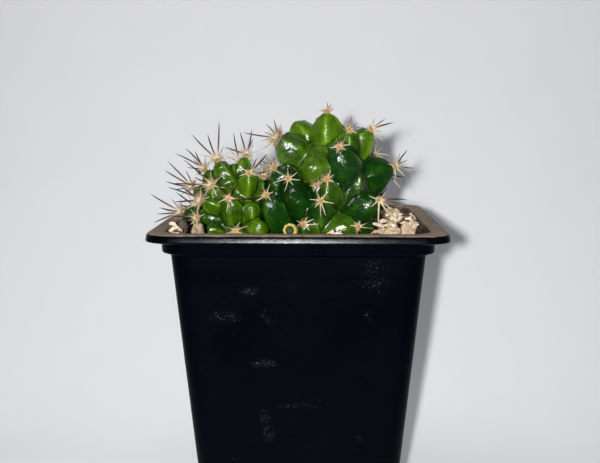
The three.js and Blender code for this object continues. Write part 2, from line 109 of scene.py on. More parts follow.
class StageSettings(bpy.types.PropertyGroup):
    """Camera, floor and lights."""

    lens: plain("Lens", "Focal length on a 36 mm wide sensor", 51.0)
    eye_side: metres("Eye to the side", "Camera to the right of the pot's middle", 0.00506)
    eye_back: metres("Eye distance", "Camera in front of the pot's middle", 0.22114)
    eye_above: metres("Eye above the rim", "Camera height over the pot's rim", 0.0265)
    pitch: degrees("Pitch", "Downward tilt", 7.79)
    yaw: degrees("Yaw", "Turn to the left", 1.346)
    wall_back: metres("Backdrop distance", "Backdrop behind the pot's middle", 0.166)
    sweep_depth: metres("Sweep depth", "Depth of the curve from floor to backdrop", 0.132)
    sweep_height: metres("Sweep height", "Height of the curve from floor to backdrop", 0.15)
    paper: tint("Paper", "Colour of floor and backdrop", (0.66, 0.66, 0.67))
    key_power: watts("Key power", "Watts of the key light", 6.0)
    key_radius: metres("Key radius", "Radius of the key light", 0.0035)
    key_cone: degrees("Key cone", "Full angle of the key light's cone", 70)
    top_power: watts("Top power", "Watts of the overhead light", 2.5)
    rear_power: watts("Rear power", "Watts of each rear light", 3.4)
    air: plain("Air light", "Strength of the light from all round", 0.09)


class PotSettings(bpy.types.PropertyGroup):
    """The square nursery pot."""

    base_half: metres("Base half width", "At the base", 0.0231)
    wall_half: metres("Wall half width", "Where the wall meets the collar", 0.0299)
    collar_half: metres("Collar half width", "Of the collar", 0.0317)
    collar_low: metres("Collar height", "Lower edge of the collar", 0.0749)
    rim_drop: metres("Rim drop", "Height of the rim's skirt", 0.002)
    wall: metres("Wall", "Wall thickness", 0.00095)
    corner: plain("Corner share", "Corner radius over half width", 0.19)
    drain_radius: metres("Drain radius", "Of the four holes", 0.0032)
    drain_offset: metres("Drain offset", "Of the four holes from the middle", 0.012)
    plastic: tint("Plastic", "Colour of the pot", (0.0003, 0.0007, 0.0016))
    dust: tint("Dust", "Colour of the dust on the rim", (0.17, 0.125, 0.09))


class MixSettings(bpy.types.PropertyGroup):
    """Potting mix, its loose grains and the stones of the top dressing."""

    grains: whole("Grains", "Loose grains on the mix", 1500)
    lump: metres("Lump height", "Unevenness of the mix", 0.0007)
    earth: tint("Earth", "Colour of the mix", (0.085, 0.055, 0.036))
    pale: tint("Pale stone", "Colour of the pale stones", (0.44, 0.36, 0.26))
    tan: tint("Tan stone", "Colour of the tan stones", (0.33, 0.25, 0.16))
    dark: tint("Dark stone", "Colour of the dark stones", (0.05, 0.036, 0.028))


class FleshSettings(bpy.types.PropertyGroup):
    """The two heads."""

    voxel: metres("Voxel", "Size of the skin's mesh", 0.00024)
    edge: plain("Edge", "2 is round, 1 is sharp four-edged", 1.42)
    ridge: metres("Ridge", "Height of the keels", 0.00013)
    old: tint("Old skin", "Colour of old tubercles", (0.0025, 0.021, 0.0018))
    young: tint("Young skin", "Colour of young tubercles", (0.036, 0.078, 0.0012))
    keel: tint("Keel", "Colour along the edges", (0.085, 0.175, 0.006))


class SpineSettings(bpy.types.PropertyGroup):
    """Areoles and spines."""

    thickness: metres("Thickness", "Spine radius at its foot", 0.00017)
    pad: metres("Areole radius", "Of the felted pad", 0.00082)
    hairs: whole("Wool hairs", "Hairs on each areole", 46)
    cream: tint("Spine", "Colour of the spines", (0.4, 0.347, 0.223))
    point: tint("Spine point", "Colour of dark points", (0.007, 0.004, 0.004))
    wool: tint("Wool", "Colour of the areole's wool", (0.23, 0.155, 0.06))
    heart: tint("Heart", "Colour in the middle of the areole", (0.26, 0.10, 0.006))


class BudSettings(bpy.types.PropertyGroup):
    """The flower bud between the heads."""

    petals: whole("Petals", "Petals in the closed ring", 9)
    rim: tint("Petal", "Colour of the petals' ends", (0.30, 0.25, 0.05))
    throat: tint("Throat", "Colour inside the ring", (0.012, 0.018, 0.001))


# ---- Meshes


def welded(name):
    """Points and faces of a CAD node with its split corners merged."""
    data = NODES[name].data
    points = points_of(data)
    keys = np.round(points * 2e5).astype(np.int64)
    _, first, back = np.unique(keys, axis=0, return_index=True, return_inverse=True)
    back = back.ravel()
    faces = [[int(back[i]) for i in polygon.vertices] for polygon in data.polygons]
    return points[first], [face for face in faces if len(set(face)) == len(face)]


def placed(name, data):
    """A new object of the scene that holds the data."""
    thing = bpy.data.objects.new(name, data)
    bpy.context.scene.collection.objects.link(thing)
    return thing


def dress(name, data, materials, stands_for=(), indices=None, smooth=True):
    """Finishes a mesh into a piece: materials, shading, its body and what it stands for."""
    data.name = name
    data.materials.clear()
    for material in materials:
        data.materials.append(material)
    data.polygons.foreach_set("use_smooth", [smooth] * len(data.polygons))
    if indices is not None:
        data.polygons.foreach_set("material_index", list(indices))
    piece = placed(name, data)
    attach(piece, BODY)
    if stands_for:
        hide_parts(*stands_for)
    return piece


def evaluated_mesh(data, modifiers):
    """A copy of a mesh with a list of (type, settings) modifiers applied."""
    helper = placed("helper", data)
    for kind, settings in modifiers:
        modifier = helper.modifiers.new(kind, kind)
        for key, value in settings.items():
            setattr(modifier, key, value)
    graph = bpy.context.evaluated_depsgraph_get()
    result = bpy.data.meshes.new_from_object(helper.evaluated_get(graph))
    bpy.data.objects.remove(helper)
    return result


def raw_mesh(points, faces):
    """A bare mesh block from points and faces."""
    data = bpy.data.meshes.new("raw")
    data.from_pydata([tuple(point) for point in points], [], [tuple(face) for face in faces])
    data.update()
    return data


def rows_of(items, key):
    """One vector of each item of a mesh, as the rows of an array."""
    values = np.zeros(len(items) * 3, np.float32)
    items.foreach_get(key, values)
    return values.reshape(-1, 3).astype(float)


def points_of(data):
    """The points of a mesh as an array."""
    return rows_of(data.vertices, "co")


def faces_of(data):
    """The faces of a mesh as tuples of point numbers."""
    return [tuple(face.vertices) for face in data.polygons]


def tree_of(points, faces):
    """A search tree over faces, for rays and nearest points."""
    return BVHTree.FromPolygons([Vector(p) for p in points], faces)


def normals_of(data):
    """The vertex normals of a mesh as an array."""
    return rows_of(data.vertex_normals, "vector")


def set_points(data, points):
    """Moves the points of a mesh."""
    data.vertices.foreach_set("co", np.asarray(points, np.float32).ravel())
    data.update()


def mark(data, name, values):
    """Stores one number a point, which the materials read."""
    layer = data.attributes.new(name, "FLOAT", "POINT")
    layer.data.foreach_set("value", np.asarray(values, np.float32))


def turbulence(points, size, octaves=3, shift=0.0):
    """Soft noise about 0 at each point, with bumps of the given size."""
    lift = Vector((shift, 0.37 * shift, -0.61 * shift))
    return np.array([
        noise.fractal(Vector(p) / size + lift, 0.6, 2.1, octaves) for p in points
    ])


def smoothstep(low, high, values):
    """0 below low, 1 above high, with a soft turn between."""
    share = np.clip((values - low) / (high - low), 0, 1)
    return share * share * (3 - 2 * share)


def unit(vector):
    """A vector cut to length 1."""
    return vector / np.linalg.norm(vector)


def turns(count):
    """Angles round a full circle."""
    return [2 * math.pi * k / count for k in range(count)]


def frame_along(axis):
    """Rows x, y, z of a frame whose z runs along an axis and whose y leans as far up as it can."""
    z = unit(axis)
    x = np.cross([0, 0, 1], z)
    x = unit(x) if np.linalg.norm(x) >= 1e-6 else np.array([1.0, 0, 0])
    return np.array([x, np.cross(z, x), z])


def tube(path, radii, sides):
    """Points and faces of a closed tube along a path, which ends in a point where its radius is 0."""
    path = np.asarray(path, float)
    points, faces, rings = [], [], []
    previous = None
    for i, spot in enumerate(path):
        along = unit(path[min(i + 1, len(path) - 1)] - path[max(i - 1, 0)])
        if previous is None:
            side = np.cross(along, [0.31, 0.52, 0.79])
        else:
            side = previous - along * (previous @ along)
        previous = side = unit(side)
        other = np.cross(along, side)
        if radii[i] <= 0:
            rings.append([len(points)])
            points.append(spot)
            continue
        rings.append(list(range(len(points), len(points) + sides)))
        for turn in turns(sides):
            points.append(spot + radii[i] * (math.cos(turn) * side + math.sin(turn) * other))
    for lower, upper in zip(rings, rings[1:]):
        for k in range(sides):
            a, b = lower[k], lower[(k + 1) % sides]
            if len(upper) == 1:
                faces.append((a, b, upper[0]))
            else:
                faces.append((a, b, upper[(k + 1) % sides], upper[k]))
    faces.append(tuple(reversed(rings[0])))
    if len(rings[-1]) > 1:
        faces.append(tuple(rings[-1]))
    return points, faces


def ring_faces(rings, around):
    """Faces of a closed body of rings, one above the other: its foot, its side row by row and its top."""
    faces = [tuple(reversed(range(around)))]
    for start in range(0, (rings - 1) * around, around):
        for k in range(around):
            a, b = start + k, start + (k + 1) % around
            faces.append((a, b, b + around, a + around))
    return faces + [tuple((rings - 1) * around + k for k in range(around))]


class Heap:
    """Collects many closed shapes into one mesh, with a mark and a material for each."""

    def __init__(self):
        self.points, self.faces, self.indices, self.marks = [], [], [], {}

    def add(self, points, faces, index=0, **marks):
        """Adds one shape; each mark is a number, or one number a point."""
        start = len(self.points)
        self.points.extend(points)
        self.faces.extend([tuple(start + i for i in face) for face in faces])
        self.indices.extend([index] * len(faces))
        for name, value in marks.items():
            values = value if hasattr(value, "__len__") else [value] * len(points)
            self.marks.setdefault(name, []).extend(values)

    def mesh(self):
        """All the shapes as one mesh, with their marks."""
        data = raw_mesh(self.points, self.faces)
        for name, values in self.marks.items():
            mark(data, name, values)
        return data

    def piece(self, name, materials, slot, stands_for=(), smooth=True):
        """Makes the piece."""
        dress(name, self.mesh(), materials, stands_for, self.indices, smooth)


# ---- Node groups and materials


NUMBER, COLOUR, VECTOR = "NodeSocketFloat", "NodeSocketColor", "NodeSocketVector"


def new_group(name, inputs, outputs):
    """A shader node group with inputs (name, kind, default) and outputs (name, kind), and its wiring."""
    group = bpy.data.node_groups.new(name, "ShaderNodeTree")
    for label, kind, default in inputs:
        socket = group.interface.new_socket(name=label, in_out="INPUT", socket_type=kind)
        socket.default_value = default
    for label, kind in outputs:
        group.interface.new_socket(name=label, in_out="OUTPUT", socket_type=kind)
    source = group.nodes.new("NodeGroupInput").outputs
    target = group.nodes.new("NodeGroupOutput").inputs
    return Wiring(group), source, target


class Wiring:
    """Short ways to place and join nodes in one tree."""

    def __init__(self, tree, shader=None):
        self.tree, self.shader = tree, shader

    def node(self, kind, **settings):
        """A new node with its settings."""
        node = self.tree.nodes.new("ShaderNode" + kind)
        for name, value in settings.items():
            setattr(node, name, value)
        return node

    def link(self, start, end):
        """Joins two sockets."""
        self.tree.links.new(start, end)

    def feed(self, socket, value):
        """Sets a socket from a number, a colour or another socket."""
        if isinstance(value, bpy.types.NodeSocket):
            self.link(value, socket)
        elif hasattr(value, "__len__") and len(value) == 3 and socket.type == "RGBA":
            socket.default_value = (*value, 1)
        else:
            socket.default_value = value

    def math(self, operation, first, second=0.0, clamp=False):
        """One sum."""
        node = self.node("Math", operation=operation, use_clamp=clamp)
        self.feed(node.inputs[0], first)
        self.feed(node.inputs[1], second)
        return node.outputs[0]

    def plus(self, first, second, clamp=False):
        """Two numbers added."""
        return self.math("ADD", first, second, clamp)

    def times(self, first, second, clamp=False):
        """Two numbers multiplied."""
        return self.math("MULTIPLY", first, second, clamp)

    def rest(self, value):
        """What is left of 1."""
        return self.math("SUBTRACT", 1.0, value)

    def vector(self, operation, *values):
        """The node of one vector sum."""
        node = self.node("VectorMath", operation=operation)
        for socket, value in zip(node.inputs, values):
            self.feed(socket, value)
        return node

    def mix(self, share, first, second):
        """A blend of two colours."""
        node = self.node("Mix", data_type="RGBA")
        self.feed(node.inputs[0], share)
        self.feed(node.inputs[6], first)
        self.feed(node.inputs[7], second)
        return node.outputs[2]

    def noise(self, scale, detail=3.0, rough=0.55, distortion=0.0):
        """Noise of the piece's own coordinates."""
        node = self.node("TexNoise")
        for label, value in (("Scale", scale), ("Detail", detail), ("Roughness", rough),
                             ("Distortion", distortion), ("Vector", self.place())):
            self.feed(node.inputs[label], value)
        return node.outputs["Fac"]

    def cells(self, scale):
        """Distance in a cell pattern."""
        node = self.node("TexVoronoi")
        node.inputs["Scale"].default_value = scale
        self.link(self.place(), node.inputs["Vector"])
        return node.outputs["Distance"]

    def place(self):
        """The piece's own coordinates, in metres."""
        return self.node("TexCoord").outputs["Object"]

    def ramp(self, value, low, high, start=0.0, end=1.0):
        """A number taken from one range to another, with a soft turn."""
        node = self.node("MapRange", interpolation_type="SMOOTHSTEP")
        self.feed(node.inputs["Value"], value)
        for socket, number in zip(("From Min", "From Max", "To Min", "To Max"), (low, high, start, end)):
            self.feed(node.inputs[socket], number)
        return node.outputs["Result"]

    def spread(self, value, start, end):
        """Noise, which keeps near 0.5, spread over a range."""
        return self.ramp(value, 0.3, 0.7, start, end)

    def marked(self, name):
        """A number stored on the mesh."""
        return self.node("Attribute", attribute_name=name).outputs["Fac"]

    def bump(self, height, distance, strength=1.0):
        """A bump of real height."""
        node = self.node("Bump")
        node.inputs["Strength"].default_value = strength
        node.inputs["Distance"].default_value = distance
        self.link(height, node.inputs["Height"])
        return node.outputs["Normal"]

    def finish(self, colour, rough, normal):
        """Joins the colour, the roughness and the bump to the shader."""
        for label, value in (("Base Color", colour), ("Roughness", rough), ("Normal", normal)):
            self.link(value, self.shader.inputs[label])

    def group(self, name, *values):
        """Places a shared node group with its values, in the order of its inputs."""
        node = self.node("Group", node_tree=shared(name))
        for socket, value in zip(node.inputs, values, strict=True):
            self.feed(socket, value)
        return node.outputs

    def mottled(self, colour, patch_size, grain_size, amount):
        """A colour with patches and grain."""
        return self.group("Mottling", colour, patch_size, grain_size, amount)


def mottling_group():
    """Patches and fine grain that vary a colour over a surface."""
    wiring, source, target = new_group(
        "Mottling",
        [("Colour", COLOUR, (0.5, 0.5, 0.5, 1)), ("Patch size", NUMBER, 400.0),
         ("Grain size", NUMBER, 4000.0), ("Amount", NUMBER, 0.4)],
        [("Colour", COLOUR), ("Patches", NUMBER), ("Grain", NUMBER)],
    )
    patches = wiring.noise(source["Patch size"], 4.0, 0.5)
    grain = wiring.noise(source["Grain size"], 3.0, 0.5)
    both = wiring.plus(wiring.times(patches, 0.65), wiring.times(grain, 0.35))
    swing = wiring.times(wiring.math("SUBTRACT", both, 0.5), source["Amount"])
    scaled = wiring.vector("SCALE", source["Colour"])
    wiring.link(wiring.plus(wiring.times(swing, 4.0), 1.0), scaled.inputs["Scale"])
    wiring.link(scaled.outputs[0], target["Colour"])
    wiring.link(patches, target["Patches"])
    wiring.link(grain, target["Grain"])


def dust_group():
    """Dust that settles in patches, thicker where the surface faces up."""
    wiring, source, target = new_group(
        "Settled dust",
        [("Colour", COLOUR, (0.5, 0.5, 0.5, 1)), ("Dust colour", COLOUR, (0.2, 0.15, 0.1, 1)),
         ("Cover", NUMBER, 0.3), ("Up share", NUMBER, 0.5)],
        [("Colour", COLOUR), ("Mask", NUMBER)],
    )
    patches = wiring.noise(260.0, 6.0, 0.62)
    specks = wiring.noise(2600.0, 3.0, 0.7)
    facing = wiring.node("SeparateXYZ")
    wiring.link(wiring.node("NewGeometry").outputs["Normal"], facing.inputs[0])
    upward = wiring.times(wiring.ramp(facing.outputs[2], 0.1, 0.9), source["Up share"])
    level = wiring.plus(source["Cover"], upward)
    broken = wiring.plus(wiring.times(patches, 0.7), wiring.times(specks, 0.5))
    mask = wiring.ramp(wiring.plus(wiring.math("SUBTRACT", broken, 1.05), level), 0.0, 0.45)
    wiring.link(wiring.mix(mask, source["Colour"], source["Dust colour"]), target["Colour"])
    wiring.link(mask, target["Mask"])


def patch_group():
    """A soft round patch about a centre, 1 in its middle and 0 at its reach."""
    wiring, source, target = new_group(
        "Round patch",
        [("Centre", VECTOR, (0, 0, 0)), ("Reach", VECTOR, (0.01, 0.01, 0.01))],
        [("Mask", NUMBER)],
    )
    away = wiring.vector("SUBTRACT", wiring.place(), source["Centre"]).outputs[0]
    share = wiring.vector("DIVIDE", away, source["Reach"]).outputs[0]
    length = wiring.vector("LENGTH", share).outputs["Value"]
    wiring.link(wiring.ramp(length, 1.0, 0.2), target["Mask"])


def new_material(name, **constants):
    """A material with the constant values of its shader, and its wiring."""
    material = bpy.data.materials.new(name)
    material.use_nodes = True
    shader = material.node_tree.nodes["Principled BSDF"]
    for label, value in constants.items():
        shader.inputs[label.replace("_", " ")].default_value = value
    return material, Wiring(material.node_tree, shader)


def shared(name):
    """A shared node group, built the first time it is asked for."""
    makers = {"Mottling": mottling_group, "Settled dust": dust_group, "Round patch": patch_group}
    if name not in bpy.data.node_groups:
        makers[name]()
    return bpy.data.node_groups[name]


# Lime smudges on the pot's front: place across and up, half width, half height and strength.
SMUDGES = (
    (-0.0112, 0.0664, 0.0036, 0.0013, 0.9),
    (-0.0170, 0.0600, 0.0056, 0.0022, 0.5),
    (-0.0068, 0.0603, 0.0026, 0.0028, 0.7),
    (-0.0080, 0.0486, 0.0042, 0.0015, 0.8),
    (-0.0078, 0.0352, 0.0020, 0.0028, 0.7),
    (-0.0070, 0.0308, 0.0018, 0.0034, 1.0),
    (0.0000, 0.0380, 0.0066, 0.0011, 0.45),
    (0.0163, 0.0603, 0.0012, 0.0018, 0.8),
    (0.0180, 0.0700, 0.0050, 0.0060, 0.35),
    (0.0145, 0.0298, 0.0010, 0.0014, 0.8),
)


def pot_materials(settings):
    """Satin black moulded plastic: plain walls, and the dusty rim with its mouth."""
    wall, wiring = new_material("Pot wall", Specular_IOR_Level=0.02)
    mottled = wiring.mottled(settings.plastic, 60.0, 1500.0, 0.35)
    specks = wiring.ramp(wiring.noise(1900.0, 4.0, 0.8), 0.585, 0.70)
    smear = wiring.ramp(wiring.noise(300.0, 6.0, 0.72, distortion=1.0), 0.42, 0.75)
    smudged = 0.0
    for x, z, reach_x, reach_z, strength in SMUDGES:
        patch = wiring.group("Round patch", (x, -0.03, z), (reach_x, 0.02, reach_z))["Mask"]
        smudged = wiring.math("MAXIMUM", smudged, wiring.times(patch, strength))
    marks = wiring.times(smudged, wiring.plus(wiring.times(specks, 0.55), wiring.times(smear, 0.03)))
    stray = wiring.ramp(wiring.noise(1300.0, 3.0, 0.8), 0.69, 0.76, 0.0, 0.12)
    cover = wiring.plus(marks, stray, clamp=True)
    wiring.finish(
        wiring.mix(cover, mottled["Colour"], (0.19, 0.195, 0.185)),
        wiring.plus(wiring.spread(mottled["Patches"], 0.30, 0.40), wiring.times(cover, 1.2)),
        wiring.bump(wiring.noise(3200.0, 2.0), 0.00001),
    )

    rim, wiring = new_material("Pot rim", Specular_IOR_Level=0.08)
    dusty = wiring.group("Settled dust", settings.plastic, settings.dust, wiring.marked("dust"), 0.0)
    mottled = wiring.mottled(dusty["Colour"], 500.0, 3500.0, 0.45)
    polish = wiring.spread(wiring.noise(420.0, 4.0), 0.17, 0.23)
    wiring.finish(
        mottled["Colour"],
        wiring.plus(polish, wiring.times(dusty["Mask"], 0.5)),
        wiring.bump(wiring.plus(mottled["Grain"], wiring.times(dusty["Mask"], 0.6)), 0.00004),
    )
    return wall, rim


def stone_material(name, colour, dusting):
    """Crumbly stone: grain, pits with painted shade and a little pale dust."""
    material, wiring = new_material(name, Specular_IOR_Level=0.25)
    mottled = wiring.mottled(colour, 700.0, 4200.0, 0.62)
    dusty = wiring.group("Settled dust", mottled["Colour"], (0.5, 0.43, 0.33), dusting, 0.25)
    pits = wiring.ramp(wiring.cells(1900.0), 0.05, 0.4)
    wiring.finish(
        # The pits, where the bump is lowest, are darker: painted shade.
        wiring.mix(wiring.times(wiring.rest(pits), 0.55), dusty["Colour"], [0.3 * c for c in colour]),
        wiring.spread(mottled["Patches"], 0.78, 0.95),
        wiring.bump(wiring.plus(wiring.times(mottled["Grain"], 0.6), pits), 0.00012),
    )
    return material


def earth_material(settings):
    """Brown gritty potting mix with paler bits, and painted shade in the low gaps between its crumbs."""
    material, wiring = new_material("Potting mix", Specular_IOR_Level=0.2)
    mottled = wiring.mottled(settings.earth, 330.0, 2200.0, 0.75)
    pale = wiring.ramp(wiring.noise(1300.0, 2.0), 0.62, 0.70)
    bits = wiring.mix(wiring.times(pale, 0.5), mottled["Colour"], (0.28, 0.22, 0.15))
    crumbs = wiring.cells(1500.0)
    wiring.finish(
        # Nearly black where the crumbs' bump is lowest, between them: painted shade.
        wiring.mix(wiring.ramp(crumbs, 0.25, 0.6, 0.0, 0.6), bits, (0.012, 0.008, 0.006)),
        wiring.spread(mottled["Patches"], 0.85, 1.0),
        wiring.bump(wiring.plus(mottled["Grain"], wiring.rest(crumbs)), 0.00025),
    )
    return material


def flesh_material(name, settings, lift, gloss):
    """Glossy waxy skin: dark green, yellower on young tubercles and along their edges, with painted shade in
    the valleys between tubercles.
    """
    material, wiring = new_material(
        name, Specular_IOR_Level=gloss, Coat_Roughness=0.12, Coat_IOR=1.5,
        Subsurface_Weight=0.08, Subsurface_Radius=(0.6, 1.0, 0.15), Subsurface_Scale=0.0008,
    )
    blotches = wiring.noise(260.0, 4.0, 0.6)
    youth = wiring.plus(wiring.marked("youth"), wiring.spread(blotches, -0.14, 0.14 + lift), clamp=True)
    skin = wiring.mix(youth, settings.old, settings.young)
    edge = wiring.times(wiring.marked("keel"), wiring.plus(wiring.times(youth, 0.75), 0.04), clamp=True)
    mottled = wiring.mottled(wiring.mix(edge, skin, settings.keel), 520.0, 3600.0, 0.5)
    valley = wiring.marked("valley")
    # Darker in the valleys between tubercles: painted shade.
    valley_shaded = wiring.mix(wiring.times(valley, 0.7), mottled["Colour"], (0.0012, 0.0065, 0.0006))
    flecks = wiring.ramp(wiring.cells(2100.0), 0.10, 0.02, 0.0, 0.35)
    rare = wiring.ramp(wiring.noise(520.0, 2.0), 0.5, 0.62)
    pores = wiring.plus(wiring.times(mottled["Grain"], 0.35), wiring.noise(1500.0, 3.0, 0.6))
    wiring.finish(
        wiring.mix(wiring.times(flecks, rare), valley_shaded, (0.16, 0.22, 0.11)),
        wiring.spread(wiring.noise(900.0, 4.0, 0.65), 0.14, 0.25),
        wiring.bump(pores, 0.00015, 0.8),
    )
    shine = wiring.ramp(wiring.noise(700.0, 3.0), 0.45, 0.7, 0.0, gloss * gloss)
    wiring.link(wiring.times(shine, wiring.rest(valley)), wiring.shader.inputs["Coat Weight"])
    return material


def spine_material(settings):
    """Horny spines, cream at the foot and darker towards some of the points."""
    material, wiring = new_material(
        "Spine", Specular_IOR_Level=0.25, Subsurface_Weight=0.1, Subsurface_Radius=(0.5, 0.35, 0.2),
        Subsurface_Scale=0.0005,
    )
    along, tone = wiring.marked("along"), wiring.marked("tone")
    streaks = wiring.noise(1800.0, 3.0)
    body = wiring.mix(wiring.ramp(along, 0.08, 0.32), settings.cream, (0.085, 0.03, 0.014))
    pale = wiring.mix(wiring.ramp(along, 0.0, 1.0), settings.cream, (0.42, 0.38, 0.27))
    reach = wiring.times(wiring.ramp(along, 0.24, 0.6), wiring.ramp(tone, 0.1, 0.6, 0.12, 1.0))
    tipped = wiring.mix(reach, wiring.mix(tone, pale, body), settings.point)
    streaked = wiring.times(wiring.ramp(streaks, 0.35, 0.7, 0.0, 0.35), wiring.rest(reach))
    wiring.finish(
        wiring.mix(streaked, tipped, (0.20, 0.13, 0.06)),
        wiring.spread(streaks, 0.35, 0.55),
        wiring.bump(streaks, 0.00002),
    )
    return material


def wool_material(settings):
    """Felted wool of the areoles, more orange in the middle."""
    material, wiring = new_material(
        "Areole wool", Specular_IOR_Level=0.15, Sheen_Weight=0.35, Sheen_Roughness=0.4,
    )
    fleece = wiring.mix(wiring.marked("tone"), settings.wool, (0.36, 0.27, 0.17))
    dyed = wiring.mix(wiring.marked("heart"), fleece, settings.heart)
    mottled = wiring.mottled(dyed, 1400.0, 7000.0, 0.6)
    wiring.finish(mottled["Colour"], wiring.spread(mottled["Patches"], 0.8, 1.0),
                  wiring.bump(mottled["Grain"], 0.00008))
    return material


def bud_material(settings):
    """Soft petals, cream-yellow at their ends and dark olive in the throat."""
    material, wiring = new_material(
        "Flower bud", Specular_IOR_Level=0.45, Subsurface_Weight=0.15, Subsurface_Radius=(0.8, 0.8, 0.3),
        Subsurface_Scale=0.0006,
    )
    throat = wiring.marked("throat")
    mottled = wiring.mottled(wiring.mix(throat, settings.rim, settings.throat), 900.0, 4000.0, 0.4)
    wiring.finish(
        wiring.mix(wiring.marked("foot"), mottled["Colour"], (0.07, 0.10, 0.008)),
        wiring.plus(wiring.spread(mottled["Patches"], 0.3, 0.5), wiring.times(throat, 0.4)),
        wiring.bump(mottled["Grain"], 0.00004),
    )
    return material


# ---- Stage


def paper_material(settings):
    """Plain pale paper. Its back lets the view through, so that the pot shows from behind."""
    material, wiring = new_material("Studio paper", Specular_IOR_Level=0.0)
    fibres = wiring.noise(40.0, 4.0)
    paper = wiring.mix(wiring.spread(fibres, 0.0, 1.0), [0.985 * c for c in settings.paper], settings.paper)
    wiring.link(paper, wiring.shader.inputs["Base Color"])
    wiring.link(wiring.spread(fibres, 0.9, 1.0), wiring.shader.inputs["Roughness"])
    clear = wiring.node("BsdfTransparent")
    blend = wiring.node("MixShader")
    behind = wiring.node("NewGeometry").outputs["Backfacing"]
    for start, end in zip((behind, wiring.shader.outputs[0], clear.outputs[0]), blend.inputs):
        wiring.link(start, end)
    wiring.link(blend.outputs[0], material.node_tree.nodes["Material Output"].inputs["Surface"])
    return material


def lamp(name, kind, place, target, power):
    """A light aimed at a point."""
    data = bpy.data.lights.new(name, kind)
    data.energy = power
    holder = placed(name, data)
    holder.location = place
    holder.rotation_mode = "QUATERNION"
    holder.rotation_quaternion = (Vector(target) - Vector(place)).to_track_quat("-Z", "Y")
    return holder


class CACTUS_OT_stage(bpy.types.Operator):
    """Sets up the camera, the paper sweep and the lights"""

    bl_idname = "cactus.stage"
    bl_label = "Stage"

    def execute(self, context):
        settings = context.scene.cactus_stage
        self.place_camera(settings)
        self.hang_paper(settings)
        self.hang_lights(settings)
        self.fill_air(settings)
        context.scene.view_settings.view_transform = "Standard"
        return {"FINISHED"}

    def place_camera(self, settings):
        """The camera, close in front of the pot and a little above its rim."""
        data = bpy.data.cameras.new("Camera")
        data.sensor_width = 36.0
        data.lens = settings.lens
        data.clip_start = 0.01
        data.clip_end = 10.0
        camera = placed("Camera", data)
        camera.location = (settings.eye_side, -settings.eye_back, POT_HIGH.z + settings.eye_above)
        ahead = Vector((
            -math.sin(settings.yaw) * math.cos(settings.pitch),
            math.cos(settings.yaw) * math.cos(settings.pitch),
            -math.sin(settings.pitch),
        ))
        camera.rotation_mode = "QUATERNION"
        camera.rotation_quaternion = ahead.to_track_quat("-Z", "Y")
        bpy.context.scene.camera = camera

    def hang_paper(self, settings):
        """One sheet of paper from the floor up to the backdrop, and the floor behind it."""
        reach, low, steps = 3.0, -0.0004, 48
        start = settings.wall_back - settings.sweep_depth
        profile = [(-reach, 0.0), (start, 0.0)]
        for i in range(1, steps + 1):
            turn = 0.5 * math.pi * i / steps
            profile.append((start + settings.sweep_depth * math.sin(turn),
                            settings.sweep_height * (1 - math.cos(turn))))
        profile.append((settings.wall_back, reach))
        points = [(x, y, z) for y, z in profile for x in (-reach, reach)]
        faces = [(i, i + 1, i + 3, i + 2) for i in range(0, len(points) - 2, 2)]
        corners = [(-reach, start, low), (reach, start, low), (reach, reach, low), (-reach, reach, low)]
        paper = paper_material(settings)
        for name, data, smooth in (("backdrop", raw_mesh(points, faces), True),
                                   ("floor_behind", raw_mesh(corners, [(0, 1, 2, 3)]), False)):
            thing = placed(name, data)
            data.materials.append(paper)
            data.polygons.foreach_set("use_smooth", [smooth] * len(data.polygons))

    def hang_lights(self, settings):
        """The small key light by the camera, a soft one overhead and two weak ones at the rear sides."""
        middle = Vector((0.0, 0.0, 0.7 * FRAME_HIGH.z))
        key = lamp("key", "SPOT", (-0.011, -0.259, 0.113), middle, settings.key_power)
        key.data.shadow_soft_size = settings.key_radius
        key.data.spot_size = settings.key_cone
        key.data.spot_blend = 0.6
        overhead = lamp("overhead", "AREA", (-0.15, 0.02, 0.9), (0.0, 0.05, 0.0), settings.top_power)
        overhead.data.size = 0.7
        overhead.visible_glossy = False
        for side, name in ((-1, "rear_left"), (1, "rear_right")):
            rear = lamp(name, "SPOT", (0.45 * side, 0.13, 0.34), middle, settings.rear_power)
            rear.data.shadow_soft_size = 0.06
            rear.data.spot_size = math.radians(28)
            rear.data.spot_blend = 1.0
            rear.visible_glossy = False

    def fill_air(self, settings):
        """Weak cool light from all round, and the pale room beyond the paper."""
        world = bpy.data.worlds.new("Studio air")
        world.use_nodes = True
        air = Wiring(world.node_tree)
        background = world.node_tree.nodes["Background"]
        seen = air.node("LightPath").outputs["Is Camera Ray"]
        air.link(air.mix(seen, (0.72, 0.88, 1.0), (0.97, 0.98, 1.0)), background.inputs["Color"])
        air.link(air.ramp(seen, 0.0, 1.0, settings.air, 0.70), background.inputs["Strength"])
        bpy.context.scene.world = world


# ---- Pot


def square_ring(half, height, share, steps):
    """Points of a rounded square at a height, corner arcs first, counterclockwise from +X."""
    radius = share * half
    flat = half - radius
    ring = []
    for quarter, (sx, sy) in enumerate(((1, 1), (-1, 1), (-1, -1), (1, -1))):
        for k in range(steps + 1):
            turn = 0.5 * math.pi * (quarter + k / steps)
            ring.append((sx * flat + radius * math.cos(turn), sy * flat + radius * math.sin(turn), height))
    return ring


